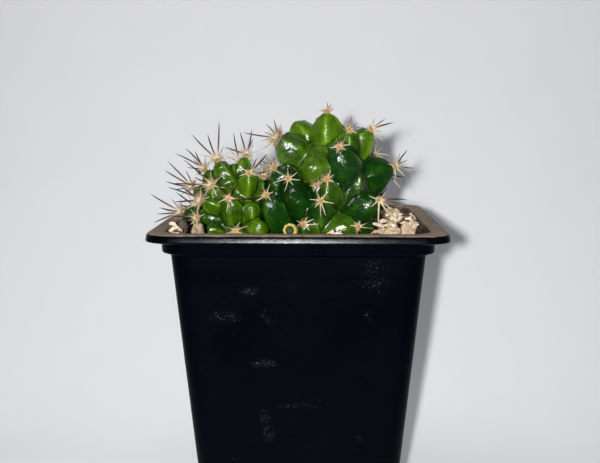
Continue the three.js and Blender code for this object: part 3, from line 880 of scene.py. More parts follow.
def pot_profile(settings):
    """Height and half width round the pot's section, and whether each station is on the rim or inside."""
    top = POT_HIGH.z
    rim = POT_HIGH.x
    wall, collar = settings.wall_half, settings.collar_half
    skirt = top - settings.rim_drop
    inner = collar - settings.wall
    low, high = 0.0009, settings.collar_low - 0.0006
    foot = [
        (0.0, settings.base_half - 0.0009, 0),
        (0.00012, settings.base_half - 0.0005, 0),
        (0.0004, settings.base_half - 0.00015, 0),
        (0.0009, settings.base_half, 0),
    ]
    side = [(low + k / 12 * (high - low), settings.base_half + k / 12 * (wall - settings.base_half), 0)
            for k in range(1, 13)]
    return foot + side + [
        (settings.collar_low - 0.00025, wall + 0.0005, 0),
        (settings.collar_low - 0.00002, collar - 0.0006, 0),
        (settings.collar_low + 0.00018, collar - 0.00015, 0),
        (settings.collar_low + 0.0005, collar, 0),
        (skirt + 0.0007, collar + 0.00006, 0),
        (skirt + 0.0010, collar + 0.0002, 1),
        (skirt + 0.00115, collar + 0.0006, 1),
        (skirt + 0.00115, rim - 0.0011, 1),
        (skirt + 0.00105, rim - 0.00095, 1),
        (skirt + 0.0001, rim - 0.0008, 1),
        (skirt, rim - 0.0006, 1),
        (skirt + 0.00002, rim - 0.0002, 1),
        (skirt + 0.00012, rim - 0.00003, 1),
        (skirt + 0.0003, rim, 1),
        (skirt + 0.0005, rim - 0.00003, 1),
        (skirt + 0.0013, rim - 0.00015, 1),
        (skirt + 0.0015, rim - 0.00022, 1),
        (top - 0.00025, rim - 0.00040, 1),
        (top - 0.00008, rim - 0.00065, 2),
        (top, rim - 0.00105, 2),
        (top - 0.00006, 0.5 * (rim + inner), 2),
        (top - 0.00002, inner + 0.00055, 2),
        (top - 0.00012, inner + 0.0002, 2),
        (top - 0.0004, inner, 2),
        (settings.collar_low + 0.0010, inner - 0.0003, 2),
        (settings.collar_low + 0.0002, inner - 0.0006, 2),
        (settings.collar_low - 0.0008, wall - settings.wall, 2),
        (0.0022, settings.base_half - settings.wall + 0.0001, 2),
        (0.0013, settings.base_half - settings.wall - 0.0006, 2),
    ]


class CACTUS_OT_pot(bpy.types.Operator):
    """Builds the thin moulded pot with its collar, rolled rim and drain holes"""

    bl_idname = "cactus.pot"
    bl_label = "Nursery pot"

    def execute(self, context):
        settings = context.scene.cactus_pot
        stations = pot_profile(settings)
        steps = 10
        points, indices = [], [0]
        for height, half, _ in stations:
            points += square_ring(half, height, settings.corner, steps)
        around = 4 * (steps + 1)
        for below, above in zip(stations, stations[1:]):
            indices += [int(below[2] > 0 or above[2] > 0)] * around
        shell = raw_mesh(points, ring_faces(len(stations), around))
        shell.polygons.foreach_set("material_index", indices + [1])
        holes = Heap()
        for x in (-settings.drain_offset, settings.drain_offset):
            for y in (-settings.drain_offset, settings.drain_offset):
                holes.add(*tube([(x, y, -0.003), (x, y, 0.004)], [settings.drain_radius] * 2, 32))
        cutter = placed("cutter", holes.mesh())
        drilling = {"operation": "DIFFERENCE", "object": cutter, "solver": "EXACT"}
        drilled = evaluated_mesh(shell, [("BOOLEAN", drilling)])
        bpy.data.objects.remove(cutter)
        kept = np.zeros(len(drilled.polygons), np.int32)
        drilled.polygons.foreach_get("material_index", kept)
        wall, rim = pot_materials(settings)
        piece = dress("nursery_pot_shell", drilled, [wall, rim], ["nursery_pot"], kept)
        spots = points_of(piece.data)
        top = POT_HIGH.z
        inner = settings.collar_half - settings.wall
        reach = np.max(np.abs(spots[:, :2]), axis=1)
        flat = smoothstep(top - 0.0005, top - 0.0001, spots[:, 2])
        inside = smoothstep(inner + 0.0012, inner + 0.0001, reach) * (spots[:, 2] > 0.5 * top)
        mark(piece.data, "dust", 0.12 + 0.72 * np.maximum(flat, 0.68 * inside))
        mend_pot_faces(piece)
        return {"FINISHED"}


def mend_pot_faces(piece):
    """Sharpens the shading at the step edges and base."""
    data = piece.data
    edges = bmesh.new()
    edges.from_mesh(data)
    for edge in edges.edges:
        if len(edge.link_faces) == 2 and edge.calc_face_angle(0.0) > math.radians(50):
            edge.smooth = False
    edges.to_mesh(data)
    edges.free()


# ---- Potting mix and stones


TOP_DEPTH = 0.0035  # the mix is uneven and strewn with grains down to this far below its top
TOP_FACING = 0.75  # a face of the mix belongs to its top when it faces up by more than this
COARSE_EDGE = 0.0016  # edges of the top longer than this are cut up


class CACTUS_OT_mix(bpy.types.Operator):
    """Builds the potting mix with an uneven top and scatters its loose grains"""

    bl_idname = "cactus.mix"
    bl_label = "Potting mix"

    def execute(self, context):
        settings = context.scene.cactus_mix
        random.seed(11)
        points, faces = welded("potting_mix")
        work = bmesh.new()
        corners = [work.verts.new(p) for p in points]
        for face in faces:
            work.faces.new([corners[i] for i in face])
        work.normal_update()
        lowest = MIX_HIGH.z - 0.004
        top = [f for f in work.faces if f.normal.z > TOP_FACING and f.calc_center_median().z > lowest]
        edges = list({e for f in top for e in f.edges if e.calc_length() > COARSE_EDGE})
        bmesh.ops.subdivide_edges(work, edges=edges, cuts=7, use_grid_fill=True)
        bmesh.ops.triangulate(work, faces=work.faces[:])
        data = bpy.data.meshes.new("potting_mix_bed")
        work.to_mesh(data)
        work.free()
        spots = points_of(data)
        normals = normals_of(data)
        level = MIX_HIGH.z - TOP_DEPTH
        rise = turbulence(spots, 0.0028, 4) + 0.5 * turbulence(spots, 0.0009, 3, 5.0)
        upper = (spots[:, 2] > level) & (normals[:, 2] > 0.3)
        spots[upper, 2] += settings.lump * rise[upper]
        set_points(data, spots)
        earth = earth_material(settings)
        dress("potting_mix_bed", data, [earth], ["potting_mix"], smooth=False)

        skin = tree_of(spots, faces_of(data))
        finishes = [
            stone_material("Pale grit", settings.pale, 0.3),
            stone_material("Tan grit", settings.tan, 0.2),
            stone_material("Dark grit", settings.dark, 0.05),
            earth,
        ]
        room = settings_inner_half(context)
        heap = Heap()
        for _ in range(settings.grains):
            x, y = random.uniform(-room, room), random.uniform(-room, room)
            size = 0.00022 + 0.0009 * random.random() ** 3.2
            kind = random.choices((0, 1, 2, 3), (0.16, 0.26, 0.26, 0.32))[0]
            hit, normal, _, _ = skin.ray_cast(Vector((x, y, MIX_HIGH.z + 0.01)), DOWN)
            if hit is None or hit.z < level or normal.z < 0.4:
                continue
            half = size * np.array([1.0, random.uniform(0.6, 1.0), random.uniform(0.5, 0.85)])
            detail = 2 if size > 0.0006 else 1
            heap.add(*rock(hit + Vector((0, 0, 0.3 * size)), half, random, 7, detail), kind)
        self.heaps(heap, skin, room)
        heap.piece("potting_mix_grains", finishes, "potting_mix", smooth=False)
        return {"FINISHED"}

    def heaps(self, heap, skin, room):
        """Lays flat flakes on the mix, on the stones and on one another."""
        grounds = [skin] + [tree_of(*welded(name)) for name in NODES if name.startswith("stone_")]
        laid = []
        for x, y, spread, count, size in HEAPS:
            for _ in range(count):
                reach = size * random.uniform(0.45, 1.0)
                spot = [middle + spread * random.gauss(0, 1) for middle in (x, y)]
                spot = [min(room - reach, max(reach - room, way)) for way in spot]
                above = Vector((*spot, MIX_HIGH.z + 0.02))
                hits = [ground.ray_cast(above, DOWN)[0] for ground in grounds]
                tops = [hit.z for hit in hits if hit]
                if not tops:
                    continue
                tops += [z + 0.3 * other for (a, b, z, other) in laid
                         if math.hypot(a - spot[0], b - spot[1]) < 0.6 * (other + reach)]
                z = max(tops) + 0.22 * reach
                laid.append((*spot, z, reach))
                half = reach * np.array([1.0, random.uniform(0.6, 0.9), random.uniform(0.3, 0.5)])
                points, faces = rock((0, 0, 0), half, random, 9, 3, 0.1)
                turned = (Matrix.Rotation(random.gauss(0, 0.4), 3, "X")
                          @ Matrix.Rotation(random.gauss(0, 0.4), 3, "Y")
                          @ Matrix.Rotation(random.uniform(0, 6.28), 3, "Z"))
                kind = random.choices((0, 1, 2), (0.55, 0.38, 0.07))[0]
                heap.add(points @ np.array(turned).T + np.array([*spot, z]), faces, kind)


# Heaps of loose flakes: place, spread, number and size.
HEAPS = (
    (0.0222, -0.0228, 0.0027, 22, 0.0017),
    (0.0264, -0.0165, 0.0023, 18, 0.0015),
    (0.0272, -0.0085, 0.0028, 16, 0.0009),
    (-0.0236, -0.0246, 0.0015, 10, 0.0007),
    (-0.0285, -0.0262, 0.0011, 7, 0.0013),
    (0.0080, -0.0270, 0.0026, 10, 0.0006),
)


def settings_inner_half(context):
    """Half width of the pot's mouth."""
    pot = context.scene.cactus_pot
    return pot.collar_half - pot.wall - 0.0007


def rock(centre, half, luck, cuts, detail, rough=0.05):
    """Points and faces of a broken stone: a lump cut off by chance planes, with a rough skin."""
    work = bmesh.new()
    bmesh.ops.create_icosphere(work, subdivisions=detail, radius=1.0)
    ways = np.array([v.co for v in work.verts])
    faces = [[v.index for v in f.verts] for f in work.faces]
    work.free()
    planes = np.array([[luck.gauss(0, 1) for _ in range(3)] for _ in range(cuts)])
    planes /= np.linalg.norm(planes, axis=1)[:, None]
    depths = np.array([luck.uniform(0.5, 0.88) for _ in range(cuts)])
    facing = np.maximum(ways @ planes.T, 1e-3)
    reach = np.minimum(1.0, (depths / facing).min(axis=1))
    grain = turbulence(ways, 0.35, 4, luck.uniform(0, 50)) if rough else 0.0
    turn = np.array(Matrix.Rotation(luck.uniform(0, 6.28), 3, "Z"))
    points = (ways * (reach + rough * grain)[:, None]) @ turn.T * np.asarray(half) + np.asarray(centre)
    return points, faces


STONE_FINISH = {
    "pale": ("pale_stone", "Pale stone"),
    # The chip takes a darker copy of the tan stone: painted shade.
    "chip": ("pale_stone", "Shaded tan stone"),
    "dark": ("dark_stone", "Dark stone"),
    "brown": ("dark_stone", "Dark stone"),
}


class CACTUS_OT_stones(bpy.types.Operator):
    """Builds the rough stones of the top dressing"""

    bl_idname = "cactus.stones"
    bl_label = "Stones"

    def execute(self, context):
        settings = context.scene.cactus_mix
        finishes = {
            "Pale stone": stone_material("Pale stone", settings.pale, 0.35),
            "Tan stone": stone_material("Tan stone", settings.tan, 0.3),
            "Dark stone": stone_material("Dark stone", settings.dark, 0.1),
            # A darker copy of the tan stone: painted shade.
            "Shaded tan stone": stone_material("Shaded tan stone", tuple(0.55 * c for c in settings.tan), 0.1),
        }
        for order, name in enumerate(sorted(n for n in NODES if n.startswith("stone_"))):
            luck = random.Random(40 + order)
            low, high = (np.array(corner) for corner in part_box(name))
            half = 0.5 * (high - low)
            heap = Heap()
            heap.add(*rock(low + half, half * (0.94, 0.94, 0.97), luck, 15, 5, 0.09))
            for _ in range(6):
                way = unit(np.array([luck.gauss(0, 1), luck.gauss(0, 1), abs(luck.gauss(0, 0.8))]))
                knob = half * luck.uniform(0.25, 0.42)
                heap.add(*rock(low + half * (1 + 0.62 * way), knob, luck, 9, 3, 0.08))
            slot, finish = STONE_FINISH.get(name.split("_")[1], ("tan_stone", "Tan stone"))
            dress(name + "_rough", heap.mesh(), [finishes[finish]], [name], smooth=False)
        return {"FINISHED"}


# ---- Heads


RING_DEPTH = 0.334  # depth of an egg's first ring below its pole, over the egg's half width
EGG_STRETCH = 1.75  # half length of an egg over its half width
POLE_SLOPE = 0.5  # an egg falls off at its pole by more than this
POLE_FACES = 7  # fewest faces that meet at a pole
POLE_RISE = 0.0005  # a pole stands this far above its ring at least
CLUSTER_GAP = 0.002  # a spine cluster starts no farther than this from its tubercle's tip


class Tubercle:
    """One tubercle: its tip, its axis, its half width and what grows on it."""

    def __init__(self, tip, axis, half_width):
        self.tip, self.axis, self.half_width = tip, axis, half_width
        self.spot = ""
        self.edge = 2.0
        self.frame = frame_along(axis)
        self.half_length = EGG_STRETCH * half_width
        self.centre = tip - self.half_length * self.axis

    def local(self, points):
        """Points in the egg's own frame, 1 at its skin along each axis."""
        away = (points - self.centre) @ self.frame.T
        return away / np.array([self.half_width, self.half_width, self.half_length])

    def depth(self, points):
        """How far points lie outside the egg's skin, roughly, in metres."""
        x, y, z = np.abs(self.local(points)).T
        across = (x ** self.edge + y ** self.edge) ** (1 / self.edge)
        return (np.sqrt(across ** 2 + z ** 2) - 1) * self.half_width


def find_tubercles(stem):
    """Every tubercle of a CAD head, highest first. The pole of each is the point of a blunt cone."""
    points, faces = welded(stem)
    corners = {}
    for face in faces:
        for i, spot in enumerate(face):
            corners.setdefault(spot, []).append((face[(i + 1) % len(face)], face[i - 1]))
    found = []
    for pole, pairs in corners.items():
        if len(pairs) < POLE_FACES:
            continue
        ahead, behind = (points[[pair[side] for pair in pairs]] - points[pole] for side in (0, 1))
        across = np.cross(ahead, behind)
        sines = np.linalg.norm(across, axis=1)
        angles = np.arctan2(sines, (ahead * behind).sum(1))
        axis = unit(((angles / sines)[:, None] * across).sum(0))
        heights = -(ahead @ axis)
        reach = np.linalg.norm(ahead + np.outer(heights, axis), axis=1)
        if heights.max() < POLE_RISE or np.min(heights / reach) < POLE_SLOPE:
            continue
        found.append(Tubercle(points[pole], axis, heights.max() / RING_DEPTH))
    found.sort(key=lambda t: -t.tip[2])
    return found


def name_tubercles(tubercles, prefix):
    """Names each tubercle after its spine cluster; those without one are bare_1, bare_2, from the top."""
    clusters = {}
    for node in NODES:
        if node.startswith(prefix):
            points, _ = welded(node)
            start = np.median(points, axis=0)
            nearest = min(tubercles, key=lambda t: np.linalg.norm(t.tip - start))
            if nearest.spot or np.linalg.norm(nearest.tip - start) > CLUSTER_GAP:
                raise RuntimeError(f"no tubercle was found under {node}")
            nearest.spot = node[len(prefix):]
            clusters[nearest.spot] = node
    bare = [t for t in tubercles if not t.spot]
    for number, tubercle in enumerate(bare, 1):
        tubercle.spot = f"bare_{number}"
    return clusters


def egg(tubercle, around=48, along=30):
    """Points and faces of one swollen four-edged tubercle."""
    points, faces = [], []
    for i in range(along + 1):
        slope = math.pi * i / along
        tipward = max(0.0, math.cos(slope))
        rounder = tubercle.edge + (2 - tubercle.edge) * max(0.0, -math.cos(slope))
        for turn in turns(around if 0 < i < along else 1):
            c, s = abs(math.cos(turn)), abs(math.sin(turn))
            wide = (c ** rounder + s ** rounder) ** (-1 / rounder) * math.sin(slope) ** (1 + 0.3 * tipward)
            points.append((
                tubercle.half_width * wide * math.cos(turn),
                tubercle.half_width * (wide * math.sin(turn) - 0.1 * math.sin(slope) ** 2),
                tubercle.half_length * math.cos(slope),
            ))
    last = len(points) - 1
    for k in range(around):
        ahead = (k + 1) % around
        faces.append((0, 1 + k, 1 + ahead))
        faces.append((last, last - around + ahead, last - around + k))
    for start in range(1, last - around, around):
        for k in range(around):
            a, b = start + k, start + (k + 1) % around
            faces.append((a, a + around, b + around, b))
    world = np.array(points) @ tubercle.frame + tubercle.centre
    return world, faces


# How young a tubercle looks, 0 to 1, and the tubercles that are round instead of four-edged.
FRESH = {
    "main": {"crown": 1.0, "brow_right": 0.7, "brow": 0.45, "shoulder_left": 0.42, "face": 0.0,
             "middle": 0.35, "cheek_left": 0.0, "cheek_right": 0.0, "chin": 0.15, "chin_right": 0.05,
             "flank_left": 0.0, "foot_left": 0.3, "foot_right": 0.5, "bare_1": 1.0, "bare_2": 0.5,
             "bare_3": 0.6, "bare_4": 0.75, "bare_5": 0.15},
    "left": {"crown": 0.6, "bare_1": 0.6, "brow": 0.8, "crown_left": 0.4, "cheek_left": 0.75, "cheek": 0.3,
             "jaw_left": 0.3, "side_left": 0.7, "chin": 0.6, "bare_2": 0.55, "bare_4": 0.9, "bare_6": 0.3},
}
ROUND = {"main": ("face", "cheek_left", "chin_right", "foot_right", "bare_4"), "left": ("jaw_left", "bare_4")}
ROUND_EDGE = 1.85
# Tubercles with duller skin, and those that spread wider than their tips show.
DULL = {"main": ("cheek_left", "flank_left", "brow_right", "cheek_right"),
        "left": ("bare_4", "cheek_left", "cheek")}
DULL_GLOSS = 0.17
WIDE = {"main": {"back_8": 1.35, "side_left": 1.15}, "left": {"back_1": 1.2}}
FEWEST_TUBERCLES = 15
NEIGHBOUR_REACH = 0.012  # the other head's skin is looked for within this distance
WAVES = ((0.0034, 2, 0.0, 0.00016), (0.0009, 3, 9.0, 0.00006))  # size, octaves, shift and height


class CACTUS_OT_heads(bpy.types.Operator):
    """Grows the skin of both heads over their tubercles"""

    bl_idname = "cactus.heads"
    bl_label = "Heads"

    def execute(self, context):
        settings = context.scene.cactus_flesh
        neighbour = None
        for label, lift, gloss in (("main", 0.0, 0.5), ("left", 0.05, 0.32)):
            tubercles = find_tubercles(f"stem_{label}")
            if len(tubercles) < FEWEST_TUBERCLES:
                raise RuntimeError(f"only {len(tubercles)} tubercles were found on stem_{label}")
            name_tubercles(tubercles, f"spines_{label}_")
            for tubercle in tubercles:
                tubercle.edge = ROUND_EDGE if tubercle.spot in ROUND[label] else settings.edge
                tubercle.half_width *= WIDE[label].get(tubercle.spot, 1.0)
            data, dullness = self.skin(settings, label, tubercles, neighbour)
            finishes = [flesh_material(f"Flesh {label}", settings, lift, gloss),
                        flesh_material(f"Dull flesh {label}", settings, lift, DULL_GLOSS)]
            dress(f"stem_{label}_skin", data, finishes, [f"stem_{label}"], dullness)
            neighbour = tree_of(points_of(data), faces_of(data))
        return {"FINISHED"}

    def skin(self, settings, label, tubercles, neighbour):
        """The skin mesh of one head with its marks, and which of its faces are dull."""
        heap = Heap()
        points, faces = welded(f"stem_{label}")
        heap.add(points, faces)
        for tubercle in tubercles:
            heap.add(*egg(tubercle))
        data = evaluated_mesh(heap.mesh(), [
            ("REMESH", {"mode": "VOXEL", "voxel_size": settings.voxel, "adaptivity": 0.0}),
            ("SMOOTH", {"factor": 0.5, "iterations": 3}),
        ])
        spots = points_of(data)
        normals = normals_of(data)
        grown = spots[:, 2] > MIX_HIGH.z - 0.001
        waves = sum(turbulence(spots[grown], size, octaves, shift) * height
                    for size, octaves, shift, height in WAVES)
        spots[grown] += normals[grown] * waves[:, None]
        if neighbour is not None:
            self.press(spots, neighbour)
        set_points(data, spots)
        return data, self.mark_skin(data, spots, settings, label, tubercles)

    def press(self, spots, neighbour, room=0.00012):
        """Moves points that lie in or against the other head out to its skin."""
        for i, spot in enumerate(spots):
            near, normal, _, distance = neighbour.find_nearest(Vector(spot), NEIGHBOUR_REACH)
            if near is None:
                continue
            inside = (Vector(spot) - near).dot(normal) < 0
            if inside or distance < room:
                spots[i] = near + normal * room

    def mark_skin(self, data, spots, settings, label, tubercles):
        """Marks youth, keel and valley, raises the keels, and tells which faces are dull."""
        depths = np.array([t.depth(spots) for t in tubercles])
        order = np.argsort(depths, axis=0)
        first = order[0]
        gap = np.take_along_axis(depths, order[1:2], 0)[0] - np.take_along_axis(depths, order[:1], 0)[0]
        valley = 1 - smoothstep(0.0, 0.0006, gap)
        top = tubercles[0].tip[2]
        freshness = []
        for tubercle in tubercles:
            lawful = float(smoothstep(top - 0.012, top + 0.002, tubercle.tip[2]))
            freshness.append(FRESH[label].get(tubercle.spot, 0.55 * lawful + 0.08))
        youth = np.array(freshness)[first]
        keel = np.zeros(len(spots))
        for index, tubercle in enumerate(tubercles):
            mine = first == index
            x, y, _ = tubercle.local(spots[mine]).T
            turn = np.arctan2(y, x)
            ridge = np.abs(np.cos(2 * turn)) ** 9
            sharp = 0.25 if tubercle.edge == ROUND_EDGE else 0.55 + 0.45 * (y < 0)
            keel[mine] = ridge * smoothstep(0.10, 0.4, np.hypot(x, y)) * sharp
        ridges = settings.ridge * keel * (spots[:, 2] > MIX_HIGH.z)
        set_points(data, spots + normals_of(data) * ridges[:, None])
        mark(data, "youth", youth)
        mark(data, "keel", keel)
        mark(data, "valley", valley)
        dull = np.array([t.spot in DULL[label] for t in tubercles])[first]
        return [int(dull[face.vertices[0]]) for face in data.polygons]


# ---- Spines


AREOLE_REACH = 0.0013  # a cluster's points farther out than this are spine ends


def cluster_spines(node):
    """The start of a CAD spine cluster and the ends of its spines."""
    points, _ = welded(node)
    start = np.median(points, axis=0)
    away = np.linalg.norm(points - start, axis=1)
    return start, points[away > AREOLE_REACH]


def needle(start, end, radius, bow, tone, heap):
    """One tapering spine, bowed a little, with a thicker foot."""
    start, end = np.asarray(start), np.asarray(end)
    line = end - start
    length = np.linalg.norm(line)
    side = unit(np.cross(line / length, [0.2, 0.4, 1.0]))
    other = np.cross(line / length, side)
    bend = (math.cos(bow[1]) * side + math.sin(bow[1]) * other) * bow[0] * length
    steps = 9
    path, radii = [], []
    for i in range(steps + 1):
        share = i / steps
        path.append(start + line * share + bend * 4 * share * (1 - share))
        swell = 1 + 0.5 * math.exp(-share * length / 0.0008)
        radii.append(radius * swell * (1 - share ** 4) ** 0.8 if i < steps else 0.0)
    sides = 7
    points, faces = tube(path, radii, sides)
    shares = [min(i // sides, steps) / steps for i in range(len(points))]
    heap.add(points, faces, along=shares, tone=tone, heart=0.0)


def felt_pad(tip, normal, radius, height, heap):
    """The felted dome of an areole, sunk a little into the tubercle's tip."""
    rows = frame_along(normal)
    rings, around = 9, 20
    points, heart = [], []
    for i in range(rings):
        share = i / (rings - 1)
        slope = 0.5 * math.pi * (1 - share) + 0.2
        for turn in turns(around):
            away = np.array([math.cos(turn) * radius * math.sin(slope),
                             math.sin(turn) * radius * math.sin(slope), height * math.cos(slope)]) @ rows
            bump = 1 + 0.22 * noise.noise(Vector(tip + away) / 0.0004)
            points.append(tip + away * bump)
            heart.append(share ** 1.5)
    heap.add(points, ring_faces(rings, around), 1, along=0.0, tone=0.0, heart=heart)


def wool_hairs(tip, normal, radius, height, count, heap, luck, longer=1.0):
    """Short curled hairs that stand round the felt."""
    rows = frame_along(normal)
    for _ in range(count):
        turn = luck.uniform(0, 2 * math.pi)
        out = radius * math.sqrt(luck.uniform(0.1, 1.0))
        root = np.array([out * math.cos(turn), out * math.sin(turn), height * 0.35])
        lean = unit(np.array([math.cos(turn), math.sin(turn), luck.uniform(0.1, 1.4)]))
        curl = np.array([luck.uniform(-1, 1), luck.uniform(-1, 1), luck.uniform(-0.8, 0.3)]) * 0.00025
        length = luck.uniform(0.0005, 0.0011) * longer
        path = [tip + (root + lean * length * s + curl * s * s) @ rows for s in (0, 0.35, 0.7, 1)]
        points, faces = tube(path, [0.00004, 0.000036, 0.00003, 0.0], 3)
        heap.add(points, faces, 1, along=0.0, tone=luck.uniform(0.0, 1.0), heart=luck.uniform(0.0, 0.3))


# How much longer and denser the wool is on the woolliest areoles.
WOOLLY = {
    "main crown": 1.5, "main shoulder_left": 3.2, "main side_left": 1.7, "main middle_left": 1.5,
    "main middle": 1.3, "main face": 1.4, "left crown_left": 2.1, "left crown": 1.9, "left brow_left": 2.4,
    "left brow_right": 1.3, "left cheek_left": 2.0, "left side_left": 2.4, "left side_back": 2.0,
    "left ear_left": 2.4, "left jaw_left": 1.6,
}
PAD_HEIGHT = 0.00085  # height of an areole's felt
SMALL_TUBERCLE = 0.0029  # half width below which the felt is smaller
BACKWARD = 0.007  # a bare tubercle this far behind its head's middle gets an areole
LONG_SPINE = (0.0042, 0.0058)  # between these lengths a spine passes from short to long


class CACTUS_OT_spines(bpy.types.Operator):
    """Sets every areole with its wool and its spines"""

    bl_idname = "cactus.spines"
    bl_label = "Areoles and spines"

    def execute(self, context):
        settings = context.scene.cactus_spines
        finishes = [spine_material(settings), wool_material(settings)]
        for label in ("main", "left"):
            tubercles = find_tubercles(f"stem_{label}")
            clusters = name_tubercles(tubercles, f"spines_{label}_")
            middle = np.mean([t.centre for t in tubercles], axis=0)
            for order, tubercle in enumerate(tubercles):
                luck = random.Random(1000 * (label == "left") + order)
                woolly = WOOLLY.get(f"{label} {tubercle.spot}", 1.0)
                node = clusters.get(tubercle.spot)
                if node:
                    start, ends = cluster_spines(node)
                    normal = unit(start - tubercle.tip)
                    heap = self.cluster(settings, tubercle, normal, ends, woolly, luck)
                    heap.piece(f"{node}_grown", finishes, "spines_and_wool", [node])
                elif tubercle.tip[1] > middle[1] + BACKWARD:
                    ends = self.plain_ends(tubercle, luck)
                    heap = self.cluster(settings, tubercle, tubercle.axis, ends, woolly, luck)
                    heap.piece(f"spines_{label}_{tubercle.spot}", finishes, "spines_and_wool")
        return {"FINISHED"}

    def plain_ends(self, tubercle, luck):
        """The ends of seven short radial spines for a tubercle that has no cluster of its own."""
        ends = []
        for k in range(7):
            turn = 2 * math.pi * (k + luck.uniform(-0.2, 0.2)) / 7
            way = np.array([math.cos(turn), math.sin(turn), luck.uniform(0.35, 0.6)]) @ tubercle.frame
            ends.append(tubercle.tip + 0.65 * tubercle.half_width * way)
        return ends

    def cluster(self, settings, tubercle, normal, ends, woolly, luck):
        """One areole with its spines."""
        heap = Heap()
        pad = settings.pad * (1.0 if tubercle.half_width > SMALL_TUBERCLE else 0.8)
        felt_pad(tubercle.tip + normal * 0.0001, normal, pad, PAD_HEIGHT, heap)
        hairs = int(settings.hairs * woolly ** 1.5)
        wool_hairs(tubercle.tip, normal, pad, PAD_HEIGHT, hairs, heap, luck, woolly)
        foot = tubercle.tip + normal * 0.0005
        for end in ends:
            length = np.linalg.norm(end - foot)
            stands_out = float(((end - foot) / length) @ normal)
            long_one = float(smoothstep(*LONG_SPINE, length))
            stiff = 0.35 * float(smoothstep(0.45, 0.9, stands_out))
            rising = float(smoothstep(-0.75, -0.15, (end - foot)[2] / length))
            tone = min(1.0, max(0.0, (long_one + stiff) * rising + luck.uniform(-0.1, 0.25)))
            bow = (luck.uniform(0.01, 0.05), luck.uniform(0, 2 * math.pi))
            radius = settings.thickness * (0.75 + 0.5 * long_one + luck.uniform(-0.08, 0.08))
            needle(foot, end, radius, bow, tone, heap)
        return heap


# ---- Flower bud


class CACTUS_OT_bud(bpy.types.Operator):
    """Builds the closed flower bud between the heads"""

    bl_idname = "cactus.bud"
    bl_label = "Flower bud"

    def execute(self, context):
        settings = context.scene.cactus_bud
        points, _ = welded("flower_bud")
        base, axis = bud_line(points)
        rows = frame_along(axis)
        reach = float(np.max((points - base) @ axis))
        across = (points - base) - np.outer((points - base) @ axis, axis)
        width = float(np.max(np.linalg.norm(across, axis=1)))
        outline = [(0.0, 0.02), (0.45, 0.0), (0.8, 0.12), (0.97, 0.35), (1.0, 0.62), (0.98, 0.82),
                   (0.90, 0.95), (0.76, 1.0), (0.62, 0.96), (0.50, 0.84), (0.40, 0.72), (0.22, 0.66),
                   (0.0, 0.68)]
        around = 6 * settings.petals
        spots, throat, foot = [], [], []
        for i, (wide, high) in enumerate(outline):
            for turn in turns(around):
                lobe = abs(math.sin(0.5 * settings.petals * turn)) ** 0.5
                notch = 1 - 0.10 * (1 - lobe) * smoothstep(0.3, 0.9, high) * (wide > 0.3)
                lean = 0.05 * math.sin(turn + 0.7)
                out = wide * width * notch
                up = (high - 0.05 * (1 - lobe) * (high > 0.8) + lean * (high > 0.8)) * reach
                spots.append(base + np.array([out * math.cos(turn), out * math.sin(turn), up]) @ rows)
                throat.append(float(i >= 8) * (1.0 if i > 8 else 0.5))
                foot.append(float(1 - smoothstep(0.15, 0.6, high)) * float(i < 7))
        heap = Heap()
        heap.add(spots, ring_faces(len(outline), around), throat=throat, foot=foot)
        made = evaluated_mesh(weld_mesh(heap), [("SUBSURF", {"levels": 1, "render_levels": 1})])
        dress("flower_bud_petals", made, [bud_material(settings)], ["flower_bud"])
        return {"FINISHED"}


def weld_mesh(heap):
    """A mesh of a heap with its coinciding points merged and its marks kept."""
    data = heap.mesh()
    work = bmesh.new()
    work.from_mesh(data)
    bmesh.ops.remove_doubles(work, verts=work.verts[:], dist=1e-6)
    bmesh.ops.dissolve_degenerate(work, edges=work.edges[:], dist=1e-7)
    work.to_mesh(data)
    work.free()
    return data


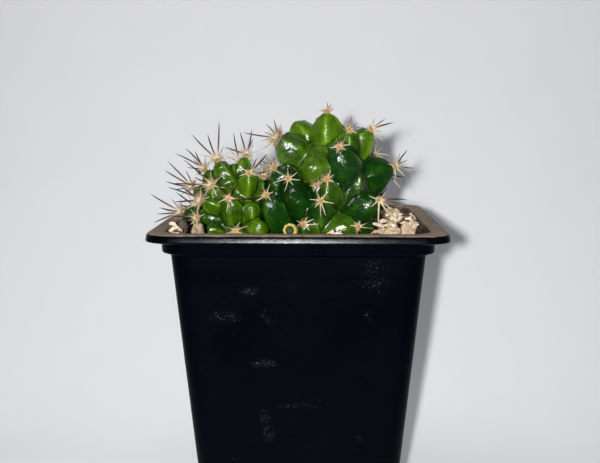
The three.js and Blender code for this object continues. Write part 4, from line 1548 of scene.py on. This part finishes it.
def bud_line(points):
    """The foot of the bud and its axis: the long way of its solid, towards its open ring."""
    middle = points.mean(0)
    _, _, ways = np.linalg.svd(points - middle)
    spans = [np.ptp((points - middle) @ way) for way in ways]
    shares = [abs(spans[i] - 0.5 * (spans[(i + 1) % 3] + spans[(i + 2) % 3])) for i in range(3)]
    axis = ways[int(np.argmax(shares))]
    if axis[1] > 0:
        axis = -axis
    low = float(np.min((points - middle) @ axis))
    return middle + low * axis, axis


# ---- Add-on


class CACTUS_PT_parts(bpy.types.Panel):
    """The steps that build the potted cactus"""

    bl_idname = "CACTUS_PT_parts"
    bl_label = "Potted round cactus"
    bl_space_type = "VIEW_3D"
    bl_region_type = "UI"
    bl_category = "Cactus"

    def draw(self, context):
        for operator, name in STEPS:
            self.layout.operator(operator.bl_idname)
            settings = getattr(context.scene, name)
            for key in settings.__annotations__:
                self.layout.prop(settings, key)


GROUPS = {
    "cactus_stage": StageSettings,
    "cactus_pot": PotSettings,
    "cactus_mix": MixSettings,
    "cactus_flesh": FleshSettings,
    "cactus_spines": SpineSettings,
    "cactus_bud": BudSettings,
}
STEPS = (
    (CACTUS_OT_stage, "cactus_stage"),
    (CACTUS_OT_pot, "cactus_pot"),
    (CACTUS_OT_mix, "cactus_mix"),
    (CACTUS_OT_stones, "cactus_mix"),
    (CACTUS_OT_heads, "cactus_flesh"),
    (CACTUS_OT_spines, "cactus_spines"),
    (CACTUS_OT_bud, "cactus_bud"),
)


def register():
    """Registers the settings, the operators and the panel."""
    for name, group in GROUPS.items():
        bpy.utils.register_class(group)
        setattr(bpy.types.Scene, name, PointerProperty(type=group))
    for operator, _ in STEPS:
        bpy.utils.register_class(operator)
    bpy.utils.register_class(CACTUS_PT_parts)


def unregister():
    """Takes the panel, the operators and the settings away again."""
    bpy.utils.unregister_class(CACTUS_PT_parts)
    for operator, _ in reversed(STEPS):
        bpy.utils.unregister_class(operator)
    for name, group in GROUPS.items():
        delattr(bpy.types.Scene, name)
        bpy.utils.unregister_class(group)


def main():
    """Builds every piece in order."""
    register()
    bpy.ops.cactus.stage()
    bpy.ops.cactus.pot()
    bpy.ops.cactus.mix()
    bpy.ops.cactus.stones()
    bpy.ops.cactus.heads()
    bpy.ops.cactus.spines()
    bpy.ops.cactus.bud()


if __name__ == "__main__":
    main()
